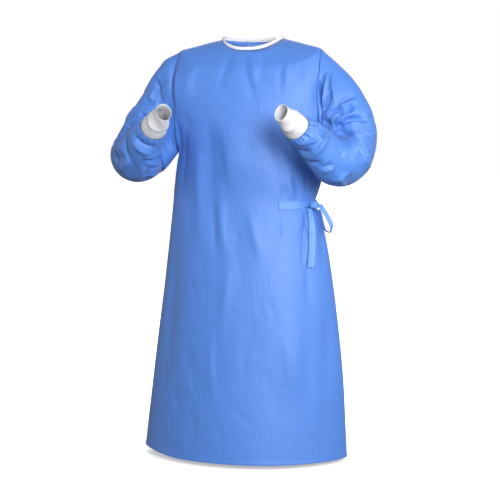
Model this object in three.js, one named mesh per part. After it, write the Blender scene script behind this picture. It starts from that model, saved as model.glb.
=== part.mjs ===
// Surgical gown in its worn form, hollow, with no wearer.
// Millimetres, +Z up. The front faces -Y and +X is the wearer's left.
// The origin is the middle of the neck opening, level with the top of the shoulders.
import * as THREE from "three";

// Driving dimensions
const WALL = 1.5; // thickness of a cloth wall
const SEAM_GAP = 0.3; // air between two sewn pieces
const NECK_Z = -11; // level of the cloth's neck edge at the shoulder seam
const SHOULDER_Z = -48; // top of the armhole
const UNDERARM_Z = -345; // bottom of the armhole
const HEM_Z = -1238; // lower edge of the gown
const ARMHOLE_FRONT = 62; // armhole's reach in front of the shoulder seam
const ARMHOLE_BACK = 68; // armhole's reach behind it
const ARMHOLE_ROUNDNESS = 0.62; // 0.5 is an ellipse, more draws its ends out
const ARMHOLE_STEPS = 10; // sections between shoulder and underarm
const FRONT_COLUMNS = 18;
const OUTER_BACK_COLUMNS = 15;
const INNER_BACK_COLUMNS = 10;
const LAP_STEP = 6.5; // how far the inner back panel lies under the outer one
const LAP_EASE = 0.1; // share of the half width over which it sinks there
const BINDING_WIDTH = 10;
const BINDING_THICKNESS = 2.4;
const BINDING_LEAN = THREE.MathUtils.degToRad(20); // the strip leans in towards the neck
const BINDING_STEPS = { outerBack: 14, front: 22, innerBack: 12 };
const SLEEVE_SECTIONS = 16;
const SLEEVE_POINTS = 2 * ARMHOLE_STEPS;
const CUFF_WALL = 2;
const CUFF_POINTS = 16;

const TIE_WIDTH = 26;
const TIE_THICKNESS = 1.4;
const TIE_PINCHED = 13; // its width where it enters the knot
const TIE_LIFT = [2.6, 7]; // its middle's height over the body, at the sewn end and at the knot
const TIE_Z = -497; // level of the ties on the body
const TIE_SEWN_AT = 0.36; // place across the front of its sewn end
const TIE_KNOT_AT = 0.76; // place across the front where it meets the knot
const TIE_BACK_SEWN_AT = 0.67; // place across the back, at the outer panel's free edge
const TIE_BACK_KNOT_AT = 0.9; // place across the front where the back tie meets the knot

// The half bow: a knot, a tail and a loop
const KNOT_RADII = vec(13, 11, 12);
const KNOT = vec(203, -88, TIE_Z);
const TAIL_AT = [0.725, 0.6]; // place across the front at its top and at its end
const TAIL_LIFT = [9, 6]; // its height over the body at its top and at its end
const TAIL_WIDTH = 20;
const TAIL_END_Z = -677;
const TAIL_WIDTH_WAY = vec(0.86, 0.51, 0);
const LOOP_WIDTH = 16;
const LOOP_STEPS = 14;
const LOOP_WIDTH_WAY = vec(0.35, -0.9, 0.25).normalize();
const LOOP_POINTS = [
  vec(218, -80, -497),
  vec(226, -76, -510),
  vec(240, -73, -534),
  vec(251, -72, -560),
  vec(246, -72, -577),
  vec(233, -72, -572),
  vec(224, -74, -548),
  vec(218, -78, -520),
  vec(213, -84, -510),
];

const GOWN_BLUE = { color: 0x5f8fdc, roughness: 0.85, metalness: 0 };
const CUFF_WHITE = { color: 0xe8e9ee, roughness: 0.95, metalness: 0 };
const BINDING_WHITE = { color: 0xf2f4f8, roughness: 0.8, metalness: 0 };

function vec(x, y, z) {
  return new THREE.Vector3(x, y, z);
}
const mix = (a, b, t) => a + (b - a) * t;
const smooth = (t) => {
  const c = Math.min(1, Math.max(0, t));
  return c * c * (3 - 2 * c);
};

// A table's rows as objects, one property for each named column
function table(columns, rows) {
  return rows.map((row) => Object.fromEntries(columns.map((name, i) => [name, row[i]])));
}

// Body sections from neck to hem. side: level at the side seam. left, right: half widths
// towards -X and +X. seamY: depth of the side seam. frontY, backY: depth at the centre lines.
// frontDrop, backDrop: how far the centre lines lie below the side.
// point: 1 is an ellipse, more draws the two sides out to a corner.
const BODY = table(
  ["side", "left", "right", "seamY", "frontY", "backY", "frontDrop", "backDrop", "point"],
  [
    [NECK_Z, 94, 94, 0, -85, 66, 36, 4, 1],
    [-28, 158, 158, -20, -108, 82, 54, 30, 1],
    [SHOULDER_Z, 215, 215, -42, -124, 92, 62, 42, 1],
    [-120, 215, 215, -42, -140, 98, 48, 34, 1],
    [-200, 216, 215, -42, -150, 98, 28, 20, 1],
    [-280, 219, 215, -42, -153, 92, 10, 8, 1],
    [UNDERARM_Z, 220, 217, -42, -152, 86, 0, 0, 1],
    [-385, 225, 218, -42, -152, 82, 0, 0, 1.03],
    [-425, 230, 215, -43, -151, 79, 0, 0, 1.06],
    [-460, 234, 206, -44, -150, 78, 0, 0, 1.08],
    [-492, 236, 196, -45, -150, 79, 0, 0, 1.1],
    [-522, 239, 208, -45, -155, 83, 0, 0, 1.12],
    [-565, 244, 222, -46, -164, 90, 0, 0, 1.15],
    [-620, 250, 234, -47, -174, 97, 0, 0, 1.17],
    [-690, 258, 246, -49, -186, 104, 0, 0, 1.2],
    [-770, 267, 258, -51, -198, 111, 0, 0, 1.23],
    [-860, 279, 270, -53, -210, 118, 0, 0, 1.26],
    [-950, 290, 280, -55, -220, 125, 0, 0, 1.28],
    [-1045, 301, 288, -57, -230, 132, 0, 0, 1.3],
    [-1140, 312, 293, -59, -240, 139, 0, 0, 1.3],
    [HEM_Z, 322, 298, -60, -249, 146, 0, 0, 1.3],
  ],
);

// Largest folds of the body: a soft line from one place to another, in front or back view.
// depth: above 0 a ridge, below 0 a trough.
const BODY_FOLDS = table(
  ["face", "x1", "z1", "x2", "z2", "width", "depth"],
  [
    ["front", -120, -250, -128, -700, 24, -6],
    ["front", -80, -260, -74, -760, 24, 5],
    ["front", -50, -250, -44, -1055, 22, -7],
    ["front", -26, -300, 70, -700, 30, 5],
    ["front", -24, -520, 60, -900, 24, -6],
    ["front", 138, -330, 168, -480, 18, -8],
    ["front", 113, -520, 122, -780, 20, -5],
    ["front", 160, -520, 200, -900, 20, -6],
    ["front", -190, -560, -250, HEM_Z, 40, 5],
    ["back", 40, -260, 10, -900, 40, -5],
    ["back", -20, -420, -60, HEM_Z, 44, 5],
    ["back", -150, -300, -190, -1000, 34, -6],
    ["back", 110, -560, 150, HEM_Z, 46, 5],
  ],
);

// Sleeve sections from the shoulder cap to the wrist. top: a point on the outer fold line,
// low: the one across from it on the underarm seam. crook, out: half depths towards the
// inside and the outside of the bent elbow.
const SLEEVE_COLUMNS = ["topX", "topY", "topZ", "lowX", "lowY", "lowZ", "crook", "out"];
const RIGHT_SLEEVE = table(SLEEVE_COLUMNS, [
  [-268, -48, -79, -238, -42, -368, 66, 68],
  [-328, -60, -164, -254, -52, -391, 72, 74],
  [-365, -92, -244, -262, -66, -403, 70, 76],
  [-383, -148, -306, -260, -104, -403, 54, 76],
  [-360, -212, -324, -246, -165, -394, 56, 68],
  [-320, -260, -300, -222, -222, -354, 57, 58],
  [-275, -296, -267, -196, -267, -316, 45, 46],
  [-249, -311, -258, -186, -287, -296, 38, 38],
]);
const LEFT_SLEEVE = table(SLEEVE_COLUMNS, [
  [257, -50, -88, 233, -44, -364, 66, 68],
  [316, -64, -164, 246, -56, -394, 72, 74],
  [356, -94, -246, 250, -74, -410, 70, 75],
  [353, -150, -310, 238, -110, -413, 54, 77],
  [323, -213, -331, 228, -168, -406, 56, 70],
  [292, -261, -306, 208, -222, -362, 58, 62],
  [249, -297, -266, 178, -268, -314, 44, 44],
  [226, -312, -258, 167, -288, -296, 38, 38],
]);

// Sleeve creases. along: place from armhole (0) to wrist (1). turn: degrees round the sleeve
// from its outer fold line, 90 is the elbow's inside. spread: reach each way in degrees.
const SLEEVE_CREASES = table(
  ["along", "turn", "spread", "length", "depth"],
  [
    [0.36, 95, 60, 0.035, -11],
    [0.46, 80, 55, 0.03, -12],
    [0.56, 100, 60, 0.035, -11],
    [0.68, 70, 50, 0.03, -7],
    [0.25, 20, 50, 0.05, -7],
    [0.5, -100, 60, 0.05, -5],
  ],
);
const CREASE_SHIFT = 0.012; // the two sleeves' creases lie this far apart from the table, each its own way
const WRIST_PUCKER = 3.2; // height of the gathers next to the cuff

// Cuff profile from the sleeve to the mouth: share of its length, and radius
const CUFF_PROFILE = table(
  ["along", "radius"],
  [
    [0, 36.5],
    [0.16, 36],
    [0.4, 34.5],
    [0.5, 35.5],
    [0.6, 31.5],
    [0.86, 27.5],
    [1, 26.8],
  ],
);
const CUFFS = {
  right: { base: vec(-217.5, -299, -277), mouth: vec(-174, -355, -231) },
  left: { base: vec(196.5, -300, -277), mouth: vec(165, -358, -234) },
};

// Value of a column at a level, by a monotone cubic through the table's rows
function slopes(rows, key, column) {
  const step = rows.slice(1).map((row, i) => (row[column] - rows[i][column]) / (row[key] - rows[i][key]));
  return rows.map((_, i) => {
    if (i === 0) return step[0];
    if (i === rows.length - 1) return step[i - 1];
    const [before, after] = [step[i - 1], step[i]];
    return before * after <= 0 ? 0 : (2 * before * after) / (before + after);
  });
}

function at(rows, key, column, value) {
  const slope = slopes(rows, key, column);
  const falling = rows[0][key] > rows[1][key];
  let i = rows.findIndex((row) => (falling ? row[key] < value : row[key] > value)) - 1;
  if (i < -1) i = rows.length - 2;
  i = Math.min(Math.max(i, 0), rows.length - 2);
  const [a, b] = [rows[i], rows[i + 1]];
  const width = b[key] - a[key];
  const t = (value - a[key]) / width;
  const [t2, t3] = [t * t, t * t * t];
  return (
    a[column] * (2 * t3 - 3 * t2 + 1) +
    b[column] * (3 * t2 - 2 * t3) +
    width * (slope[i] * (t3 - 2 * t2 + t) + slope[i + 1] * (t3 - t2))
  );
}

const SECTION_COLUMNS = Object.keys(BODY[0]).filter((column) => column !== "side");
const section = (level) =>
  Object.fromEntries(SECTION_COLUMNS.map((column) => [column, at(BODY, "side", column, level)]));

// Reach of the armhole, before or behind the shoulder seam, at a level
function armholeReach(level, full) {
  const middle = (SHOULDER_Z + UNDERARM_Z) / 2;
  const half = (SHOULDER_Z - UNDERARM_Z) / 2;
  const share = 1 - ((level - middle) / half) ** 2;
  return share > 0 ? full * share ** ARMHOLE_ROUNDNESS : 0;
}

const signedPower = (value, power) => Math.sign(value) * Math.abs(value) ** power;

// Point of the plain body. face: "front" or "back". across: -1 at the -X edge, 0 at the
// centre line, 1 at the +X edge, where the edge is the side seam or the armhole.
function plainBody(face, across, level) {
  const s = section(level);
  const front = face === "front";
  const depth = front ? s.seamY - s.frontY : s.backY - s.seamY;
  const reach = armholeReach(level, front ? ARMHOLE_FRONT : ARMHOLE_BACK);
  const edgeAngle = Math.acos((reach / depth) ** (1 / s.point));
  const halfWidth = (across > 0 ? s.right : s.left) / Math.sin(edgeAngle);
  const angle = across * edgeAngle;
  const offset = depth * signedPower(Math.cos(angle), s.point);
  const drop = (front ? s.frontDrop : s.backDrop) * Math.cos((Math.PI / 2) * across) ** 2;
  return vec(halfWidth * Math.sin(angle), s.seamY + (front ? -offset : offset), level - drop);
}

// Height of the folds at a point of the body
function foldHeight(face, p) {
  let height = 0;
  for (const fold of BODY_FOLDS) {
    if (fold.face !== face) continue;
    const along = (p.z - fold.z1) / (fold.z2 - fold.z1);
    const line = mix(fold.x1, fold.x2, along);
    const ends = smooth((along + 0.12) / 0.3) * (fold.z2 === HEM_Z ? 1 : smooth((1.12 - along) / 0.3));
    height += fold.depth * ends * Math.exp(-(((p.x - line) / fold.width) ** 2));
  }
  return height;
}

// Outward normal of the plain body, the same on both sides of a side seam
function bodyNormal(face, across, level) {
  const step = 0.01;
  const other = face === "front" ? "back" : "front";
  const side = (value) => {
    const size = Math.abs(value);
    return size <= 1 ? [face, value] : [other, Math.sign(value) * (2 - size)];
  };
  const inArmhole = armholeReach(level, 1) > 0;
  const place = (value) => {
    if (inArmhole && Math.abs(value) > 1) return plainBody(face, Math.sign(value), level);
    return plainBody(...side(value), level);
  };
  const sideways = place(across + step).sub(place(across - step));
  const above = plainBody(face, across, Math.min(level + 2, NECK_Z));
  const below = plainBody(face, across, Math.max(level - 2, HEM_Z));
  const normal = below.sub(above).cross(sideways).normalize();
  return face === "front" ? normal : normal.negate();
}

// Point of the body's outer face with its folds, sunk inwards by the given depth
function bodyPoint(face, across, level, sink = 0) {
  const p = plainBody(face, across, level);
  const rise = foldHeight(face, p) * smooth((1 - Math.abs(across)) / 0.15);
  return p.addScaledVector(bodyNormal(face, across, level), rise - sink);
}

// Levels of the body's sections: yoke, armhole and skirt
function bodyLevels() {
  const yoke = [NECK_Z, -22, -35];
  const middle = (SHOULDER_Z + UNDERARM_Z) / 2;
  const half = (SHOULDER_Z - UNDERARM_Z) / 2;
  const armhole = Array.from(
    { length: ARMHOLE_STEPS + 1 },
    (_, i) => middle + half * Math.cos((Math.PI * i) / ARMHOLE_STEPS),
  );
  const skirt = BODY.map((row) => row.side).filter((level) => level < UNDERARM_Z);
  return [...yoke, ...armhole, ...skirt];
}
const LEVELS = bodyLevels();
const FIRST_ARM_LEVEL = 3;

// A closed solid from a grid of outer points and the inner points behind them
function closedGrid(outer, inner, ringClosed) {
  const rows = outer.length;
  const columns = outer[0].length;
  const points = [...outer.flat(), ...inner.flat()];
  const index = [];
  const id = (layer, i, j) => layer * rows * columns + i * columns + (j % columns);
  const quad = (a, b, c, d) => index.push(a, b, c, a, c, d);
  const last = ringClosed ? columns : columns - 1;
  for (let i = 0; i + 1 < rows; i++) {
    for (let j = 0; j < last; j++) {
      quad(id(0, i, j), id(0, i + 1, j), id(0, i + 1, j + 1), id(0, i, j + 1));
      quad(id(1, i, j), id(1, i, j + 1), id(1, i + 1, j + 1), id(1, i + 1, j));
    }
    if (!ringClosed) {
      quad(id(0, i, 0), id(1, i, 0), id(1, i + 1, 0), id(0, i + 1, 0));
      quad(id(0, i, last), id(0, i + 1, last), id(1, i + 1, last), id(1, i, last));
    }
  }
  for (let j = 0; j < last; j++) {
    quad(id(0, 0, j), id(0, 0, j + 1), id(1, 0, j + 1), id(1, 0, j));
    quad(id(0, rows - 1, j), id(1, rows - 1, j), id(1, rows - 1, j + 1), id(0, rows - 1, j + 1));
  }
  const geometry = new THREE.BufferGeometry();
  geometry.setAttribute("position", new THREE.Float32BufferAttribute(points.flatMap((p) => p.toArray()), 3));
  geometry.setIndex(index);
  geometry.computeVertexNormals();
  return geometry;
}

function named(name, geometry, finish) {
  const mesh = new THREE.Mesh(geometry, new THREE.MeshStandardMaterial(finish));
  mesh.name = name;
  return mesh;
}

// One panel of the body. Its columns run left to right as seen from outside.
// edges: level -> [first, last] place across. sink: place across -> depth under the base form.
function panel(name, face, columns, edges, sink) {
  const outer = [];
  const inner = [];
  LEVELS.forEach((level) => {
    const [first, last] = edges(level);
    const row = Array.from({ length: columns + 1 }, (_, j) => {
      const across = mix(first, last, j / columns);
      return { across, p: bodyPoint(face, across, level, sink(across, level)) };
    });
    const pull = SEAM_GAP / 2;
    const firstStep = row[1].p.clone().sub(row[0].p).setLength(pull);
    const lastStep = row[columns - 1].p.clone().sub(row[columns].p).setLength(pull);
    row[0].p.add(firstStep);
    row[columns].p.add(lastStep);
    outer.push(row.map(({ p }) => p));
    const inward = ({ p, across }) => p.clone().addScaledVector(bodyNormal(face, across, level), -WALL);
    inner.push(row.map(inward));
  });
  return named(name, closedGrid(outer, inner, false), GOWN_BLUE);
}

// Where the free edges of the two back panels run, from the neck to the hem
const outerEdge = (level) => mix(0.42, 0.74, smooth((NECK_Z - level) / 480));
const innerEdge = (level) => mix(-0.24, -0.42, smooth((NECK_Z - level) / 480));
const lapDepth = (across, level) => LAP_STEP * smooth((1 - across) / (1 - outerEdge(level) - LAP_EASE));

function panels() {
  return [
    panel("front_panel", "front", FRONT_COLUMNS, () => [-1, 1], () => 0),
    panel("back_panel_outer", "back", OUTER_BACK_COLUMNS, (level) => [outerEdge(level), -1], () => 0),
    panel("back_panel_inner", "back", INNER_BACK_COLUMNS, (level) => [1, innerEdge(level)], lapDepth),
  ];
}

// The white strip along the neck edge, from the outer back panel's free edge all the way
// round and on along the inner one
function neckBinding() {
  const stops = [];
  const run = (face, from, to, count) => {
    for (let i = 0; i < count; i++) stops.push([face, mix(from, to, i / count)]);
  };
  run("back", outerEdge(NECK_Z), -1, BINDING_STEPS.outerBack);
  run("front", -1, 1, BINDING_STEPS.front);
  const underLapFrom = stops.length;
  run("back", 1, innerEdge(NECK_Z), BINDING_STEPS.innerBack);
  stops.push(["back", innerEdge(NECK_Z)]);
  const proud = (BINDING_THICKNESS - WALL) / 2;
  const [sine, cosine] = [Math.sin(BINDING_LEAN), Math.cos(BINDING_LEAN)];
  const outer = [[], []];
  const inner = [[], []];
  stops.forEach(([face, across], i) => {
    const sink = i >= underLapFrom ? lapDepth(across, NECK_Z) : 0;
    const normal = bodyNormal(face, across, NECK_Z);
    const out = vec(normal.x, normal.y, 0).normalize();
    const edge = plainBody(face, across, NECK_Z).addScaledVector(normal, -sink);
    const rise = vec(-sine * out.x, -sine * out.y, cosine);
    const outward = vec(cosine * out.x, cosine * out.y, sine);
    [BINDING_WIDTH, SEAM_GAP + 1].forEach((height, row) => {
      const p = edge.clone().addScaledVector(rise, height);
      outer[row].push(p.clone().addScaledVector(outward, proud));
      inner[row].push(p.clone().addScaledVector(outward, proud - BINDING_THICKNESS));
    });
  });
  return named("neck_binding", closedGrid(outer, inner, false), BINDING_WHITE);
}

// The armhole's points, from the shoulder down the front and up the back, just past the panels
function armholeRing(sign) {
  const levels = LEVELS.slice(FIRST_ARM_LEVEL, FIRST_ARM_LEVEL + ARMHOLE_STEPS + 1);
  const edge = (face, level) => {
    const p = plainBody(face, sign, level);
    p.x += sign * SEAM_GAP;
    return p;
  };
  const front = levels.map((level) => edge("front", level));
  const back = levels.slice(1, -1).reverse().map((level) => edge("back", level));
  return [...front, ...back];
}

// Centre, half width and half depth directions of a sleeve section, blended between rows
function sleeveFrame(rows, along) {
  const place = along * (rows.length - 1);
  const keyed = rows.map((row, i) => ({ ...row, i }));
  const value = (column) => at(keyed, "i", column, place);
  const top = vec(value("topX"), value("topY"), value("topZ"));
  const low = vec(value("lowX"), value("lowY"), value("lowZ"));
  const centre = top.clone().add(low).multiplyScalar(0.5);
  return { top, low, centre, crook: value("crook"), out: value("out") };
}

// Depth of the creases at a place of the sleeve, a little further along on one side
function creaseDepth(along, turn, sign) {
  return SLEEVE_CREASES.reduce((sum, crease) => {
    const away = ((turn - crease.turn + 540) % 360) - 180;
    const round = Math.exp(-((away / crease.spread) ** 2));
    const off = along - crease.along + sign * CREASE_SHIFT;
    return sum + crease.depth * round * Math.exp(-((off / crease.length) ** 2));
  }, 0);
}

function sleeve(name, rows, sign, { base, mouth }) {
  const rings = [armholeRing(sign)];
  const wristWay = mouth.clone().sub(base).normalize();
  for (let i = 0; i < SLEEVE_SECTIONS; i++) {
    const along = i / (SLEEVE_SECTIONS - 1);
    const frame = sleeveFrame(rows, along);
    const next = sleeveFrame(rows, Math.min(1, along + 0.02)).centre;
    const before = sleeveFrame(rows, Math.max(0, along - 0.02)).centre;
    const atWrist = i === SLEEVE_SECTIONS - 1;
    const tangent = atWrist ? wristWay : next.sub(before).normalize();
    const half = frame.top.clone().sub(frame.low).multiplyScalar(0.5);
    if (atWrist) half.addScaledVector(wristWay, -half.dot(wristWay)).setLength(frame.crook);
    if (atWrist) frame.centre.copy(base);
    const crookWay = tangent.clone().cross(half).normalize().multiplyScalar(sign);
    const ring = Array.from({ length: SLEEVE_POINTS }, (_, k) => {
      const turn = (2 * Math.PI * k) / SLEEVE_POINTS;
      const depth = Math.sin(turn) > 0 ? frame.crook : frame.out;
      const p = frame.centre
        .clone()
        .addScaledVector(half, Math.cos(turn))
        .addScaledVector(crookWay, depth * Math.sin(turn));
      const radial = p.clone().sub(frame.centre).normalize();
      const pucker = k % 2 ? -WRIST_PUCKER : WRIST_PUCKER;
      const gather = smooth((along - 0.8) / 0.1) * smooth((1 - along) / 0.05);
      const crease = creaseDepth(along, (turn * 180) / Math.PI, sign) * smooth((0.95 - along) / 0.1);
      return p.addScaledVector(radial, crease + pucker * gather);
    });
    rings.push(ring);
  }
  return named(name, tube(rings, WALL, sign > 0, [vec(1, 0, 0), wristWay]), GOWN_BLUE);
}

// A tube with a wall, from rings of points. endWays: the normals of its first and last planes,
// in which the wall's ends stay.
function tube(rings, wall, reversed, endWays) {
  const ordered = reversed ? rings.map((ring) => [...ring].reverse()) : rings;
  const count = ordered[0].length;
  const inner = ordered.map((ring, i) =>
    ring.map((p, j) => {
      const sideways = ring[(j + 1) % count].clone().sub(ring[(j + count - 1) % count]);
      const ahead = ordered[Math.min(i + 1, ordered.length - 1)][j];
      const behind = ordered[Math.max(i - 1, 0)][j];
      const normal = ahead.clone().sub(behind).cross(sideways).normalize();
      const endWay = i === 0 ? endWays[0] : i === ordered.length - 1 ? endWays[1] : null;
      if (endWay) normal.addScaledVector(endWay, -normal.dot(endWay)).normalize();
      return p.clone().addScaledVector(normal, -wall);
    }),
  );
  return closedGrid(ordered, inner, true);
}

function cuff(name, { base, mouth }) {
  const axis = mouth.clone().sub(base);
  const length = axis.length();
  axis.normalize();
  const sideways = axis.clone().cross(vec(0, 0, 1)).normalize();
  const upward = sideways.clone().cross(axis);
  const rings = CUFF_PROFILE.map(({ along, radius }) =>
    Array.from({ length: CUFF_POINTS }, (_, k) => {
      const turn = (2 * Math.PI * k) / CUFF_POINTS;
      return base
        .clone()
        .addScaledVector(axis, SEAM_GAP + along * length)
        .addScaledVector(sideways, radius * Math.cos(turn))
        .addScaledVector(upward, radius * Math.sin(turn));
    }),
  );
  return named(name, tube(rings, CUFF_WALL, false, [axis, axis]), CUFF_WHITE);
}

// A flat tie from rows of three points across its width, given on its middle surface
function strap(name, rows, thickness) {
  const normal = (i) => {
    const ahead = rows[Math.min(i + 1, rows.length - 1)][1].clone().sub(rows[Math.max(i - 1, 0)][1]);
    return rows[i][2].clone().sub(rows[i][0]).cross(ahead).normalize();
  };
  const half = thickness / 2;
  const layer = (away) => rows.map((row, i) => row.map((p) => p.clone().addScaledVector(normal(i), away)));
  return named(name, closedGrid(layer(-half), layer(half), false), GOWN_BLUE);
}

const steps = (count) => Array.from({ length: count }, (_, i) => i / (count - 1));

// Rows of a tie that follows the body: its width runs up the body, its face lies off it
function rowsOnBody(count, place) {
  return steps(count).map((t) => {
    const { face, across, width, lift } = place(t);
    return [0.5, 0, -0.5].map((share) => bodyPoint(face, across, TIE_Z + share * width, -lift));
  });
}

// Rows of a free tie along a line of points, with its width the same way all along
function rowsOnLine(line, widthWay, width) {
  return line.map((p, i) =>
    [0.5, 0, -0.5].map((share) => p.clone().addScaledVector(widthWay, share * width(i / (line.length - 1)))),
  );
}

function ties() {
  const frontRows = rowsOnBody(9, (t) => ({
    face: "front",
    across: mix(TIE_SEWN_AT, TIE_KNOT_AT, t),
    width: mix(TIE_WIDTH, TIE_PINCHED, smooth((t - 0.35) / 0.65)),
    lift: mix(...TIE_LIFT, t * t),
  }));
  const backRows = rowsOnBody(10, (t) => ({
    face: t < 0.5 ? "back" : "front",
    across: t < 0.5 ? mix(TIE_BACK_SEWN_AT, 1, t / 0.5) : mix(1, TIE_BACK_KNOT_AT, (t - 0.5) / 0.5),
    width: mix(TIE_WIDTH, TIE_PINCHED, smooth((t - 0.5) / 0.5)),
    lift: mix(...TIE_LIFT, t),
  }));
  return [strap("tie_front", frontRows, TIE_THICKNESS), strap("tie_back", backRows, TIE_THICKNESS), ...bow()];
}

// The half bow: a knot, one loop to the side and one tail that hangs down the skirt
function bow() {
  const knot = named("tie_knot", new THREE.SphereGeometry(1, 14, 8), GOWN_BLUE);
  knot.scale.copy(KNOT_RADII);
  knot.position.copy(KNOT);
  const loopLine = new THREE.CatmullRomCurve3(LOOP_POINTS).getPoints(LOOP_STEPS);
  const tailLine = steps(8).map((t) => {
    const level = mix(KNOT.z - KNOT_RADII.z - 1, TAIL_END_Z, t);
    return bodyPoint("front", mix(...TAIL_AT, t), level, -mix(...TAIL_LIFT, t));
  });
  const tailWidth = (t) => mix(TIE_PINCHED, TAIL_WIDTH, smooth(t / 0.4));
  return [
    knot,
    strap("tie_loop", rowsOnLine(loopLine, LOOP_WIDTH_WAY, () => LOOP_WIDTH), TIE_THICKNESS),
    strap("tie_tail", rowsOnLine(tailLine, TAIL_WIDTH_WAY, tailWidth), TIE_THICKNESS),
  ];
}

const gown = new THREE.Group();
gown.add(
  ...panels(),
  sleeve("sleeve_right", RIGHT_SLEEVE, -1, CUFFS.right),
  sleeve("sleeve_left", LEFT_SLEEVE, 1, CUFFS.left),
  cuff("cuff_right", CUFFS.right),
  cuff("cuff_left", CUFFS.left),
  neckBinding(),
  ...ties(),
);

export default gown;
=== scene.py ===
# %% [markdown]
# # A surgical gown, worn with no one in it
#
# The gown is sewn from flat pieces of nonwoven cloth: a wide front, two back panels that lap,
# two sleeves, knit cuffs, a bound neck and ties. Here each of them is a thin sheet laid on the
# hollow form that the wearer left, and the creases are put in one soft line at a time.
# Everything is in metres, in the frame of the imported model: +Z is up, the front faces -Y, and
# +X is the wearer's left. Tables are written in millimetres, as a pattern cutter would.

# %% Load the imported model and measure its box
from math import radians

import bmesh
import bpy
import numpy as np
from mathutils import Matrix, Vector


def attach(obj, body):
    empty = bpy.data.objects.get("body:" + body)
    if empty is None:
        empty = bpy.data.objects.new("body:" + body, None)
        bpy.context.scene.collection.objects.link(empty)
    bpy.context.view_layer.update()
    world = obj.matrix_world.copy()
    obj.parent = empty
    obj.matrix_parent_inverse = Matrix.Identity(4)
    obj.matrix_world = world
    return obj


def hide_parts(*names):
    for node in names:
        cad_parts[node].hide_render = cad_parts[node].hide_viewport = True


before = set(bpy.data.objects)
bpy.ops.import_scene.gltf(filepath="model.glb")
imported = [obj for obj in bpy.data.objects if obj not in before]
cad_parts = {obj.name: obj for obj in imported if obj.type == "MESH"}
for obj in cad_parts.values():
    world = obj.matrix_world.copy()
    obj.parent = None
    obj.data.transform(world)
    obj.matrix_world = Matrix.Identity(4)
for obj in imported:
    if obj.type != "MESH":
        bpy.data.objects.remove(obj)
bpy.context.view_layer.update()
MM = 0.001
print("packed nodes:", ", ".join(sorted(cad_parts)))

# %% [markdown]
# ## The camera
#
# The camera stands about four metres away, a little to the wearer's left, at chest height and
# tilted down a few degrees, so the hem's curve shows and the far shoulder is narrower.

# %% Camera at the photograph's angle
CAMERA_PLACE = (0.99572, -4.03909, -0.3)
CAMERA_TURN = 14
CAMERA_TILT = 4.6588
camera = bpy.data.objects.new("camera", bpy.data.cameras.new("camera"))
camera.data.lens = 100
camera.data.sensor_width = 36
camera.location = CAMERA_PLACE
camera.rotation_euler = (radians(90 - CAMERA_TILT), 0, radians(CAMERA_TURN))
bpy.context.collection.objects.link(camera)
bpy.context.scene.camera = camera
print("camera", [round(x, 3) for x in camera.location])

# %% [markdown]
# ## Small helpers for node materials
#
# Colours are picked as they look on a screen, in hex, and one function turns them to the linear
# values that Blender mixes light in. One function adds a node with its settings and its links.

# %% Colour and node helpers
def linear(code):
    """An sRGB hex colour as linear RGBA."""
    channels = [int(code[i : i + 2], 16) / 255 for i in (1, 3, 5)]
    return (*[c / 12.92 if c <= 0.04045 else ((c + 0.055) / 1.055) ** 2.4 for c in channels], 1)


def new_material(name):
    """A material that uses nodes, its node tree and its surface shader."""
    material = bpy.data.materials.new(name)
    material.use_nodes = True
    return material, material.node_tree, material.node_tree.nodes["Principled BSDF"]


def add(tree, kind, settings=None, **inputs):
    """A new node. Inputs go by name, with _ for a space, or by i and their number where names
    repeat. Each is a value, or a socket to link."""
    node = tree.nodes.new(kind)
    for key, value in (settings or {}).items():
        setattr(node, key, value)
    for key, value in inputs.items():
        numbered = key[0] == "i" and key[1:].isdigit()
        socket = node.inputs[int(key[1:]) if numbered else key.replace("_", " ")]
        if isinstance(value, bpy.types.NodeSocket):
            tree.links.new(value, socket)
        else:
            socket.default_value = value
    return node


def tinted(tree, surface, noise, first, second):
    """Colours the surface between two hex colours, by a noise."""
    tint = add(tree, "ShaderNodeMix", {"data_type": "RGBA"}, Factor=noise.outputs["Fac"],
               i6=linear(first), i7=linear(second))
    tree.links.new(tint.outputs[2], surface.inputs["Base Color"])


# %% [markdown]
# ## The gown's cloth
#
# The cloth is a nonwoven of polypropylene: fibres spun and blown into a web, then bonded by a
# hot roller that leaves a fine grid of dots. It isn't woven, so it has no threads. The eye sees
# an even, slightly waxy blue with cloudy patches where the web is thicker, soft highlights on
# each fold, and a faint crumple from having been packed flat. The roller's dots are about
# 1.5 mm apart, which is finer than a pixel here, so they are drawn at 3 mm. Faint streaks, about
# 9 mm wide and 70 mm long, lean across the cloth as they do on the skirt.

# %% Spunbond and meltblown polypropylene, bonded by a hot roller
CLOTH_BLUE = "#4a81d5"
CLOTH_THICK_PATCH = "#3d74c9"
# The ties' blues are lighter than the gown's: painted light, for the light that falls on the ties.
TIE_BLUE_PAINTED_LIGHTER = "#5c92df"
TIE_THICK_PATCH_PAINTED_LIGHTER = "#5288d7"
DOT_SPACING = 3 * MM
WEB_CLOUD = 14 * MM
CRUMPLE = 45 * MM
STREAK_WIDE, STREAK_LONG, STREAK_TURN = 9 * MM, 70 * MM, radians(14)
STREAK_DEPTH, CRUMPLE_DEPTH, WEB_DEPTH, DOT_DEPTH = 1.6 * MM, 2.6 * MM, 0.35 * MM, 0.12 * MM


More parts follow.
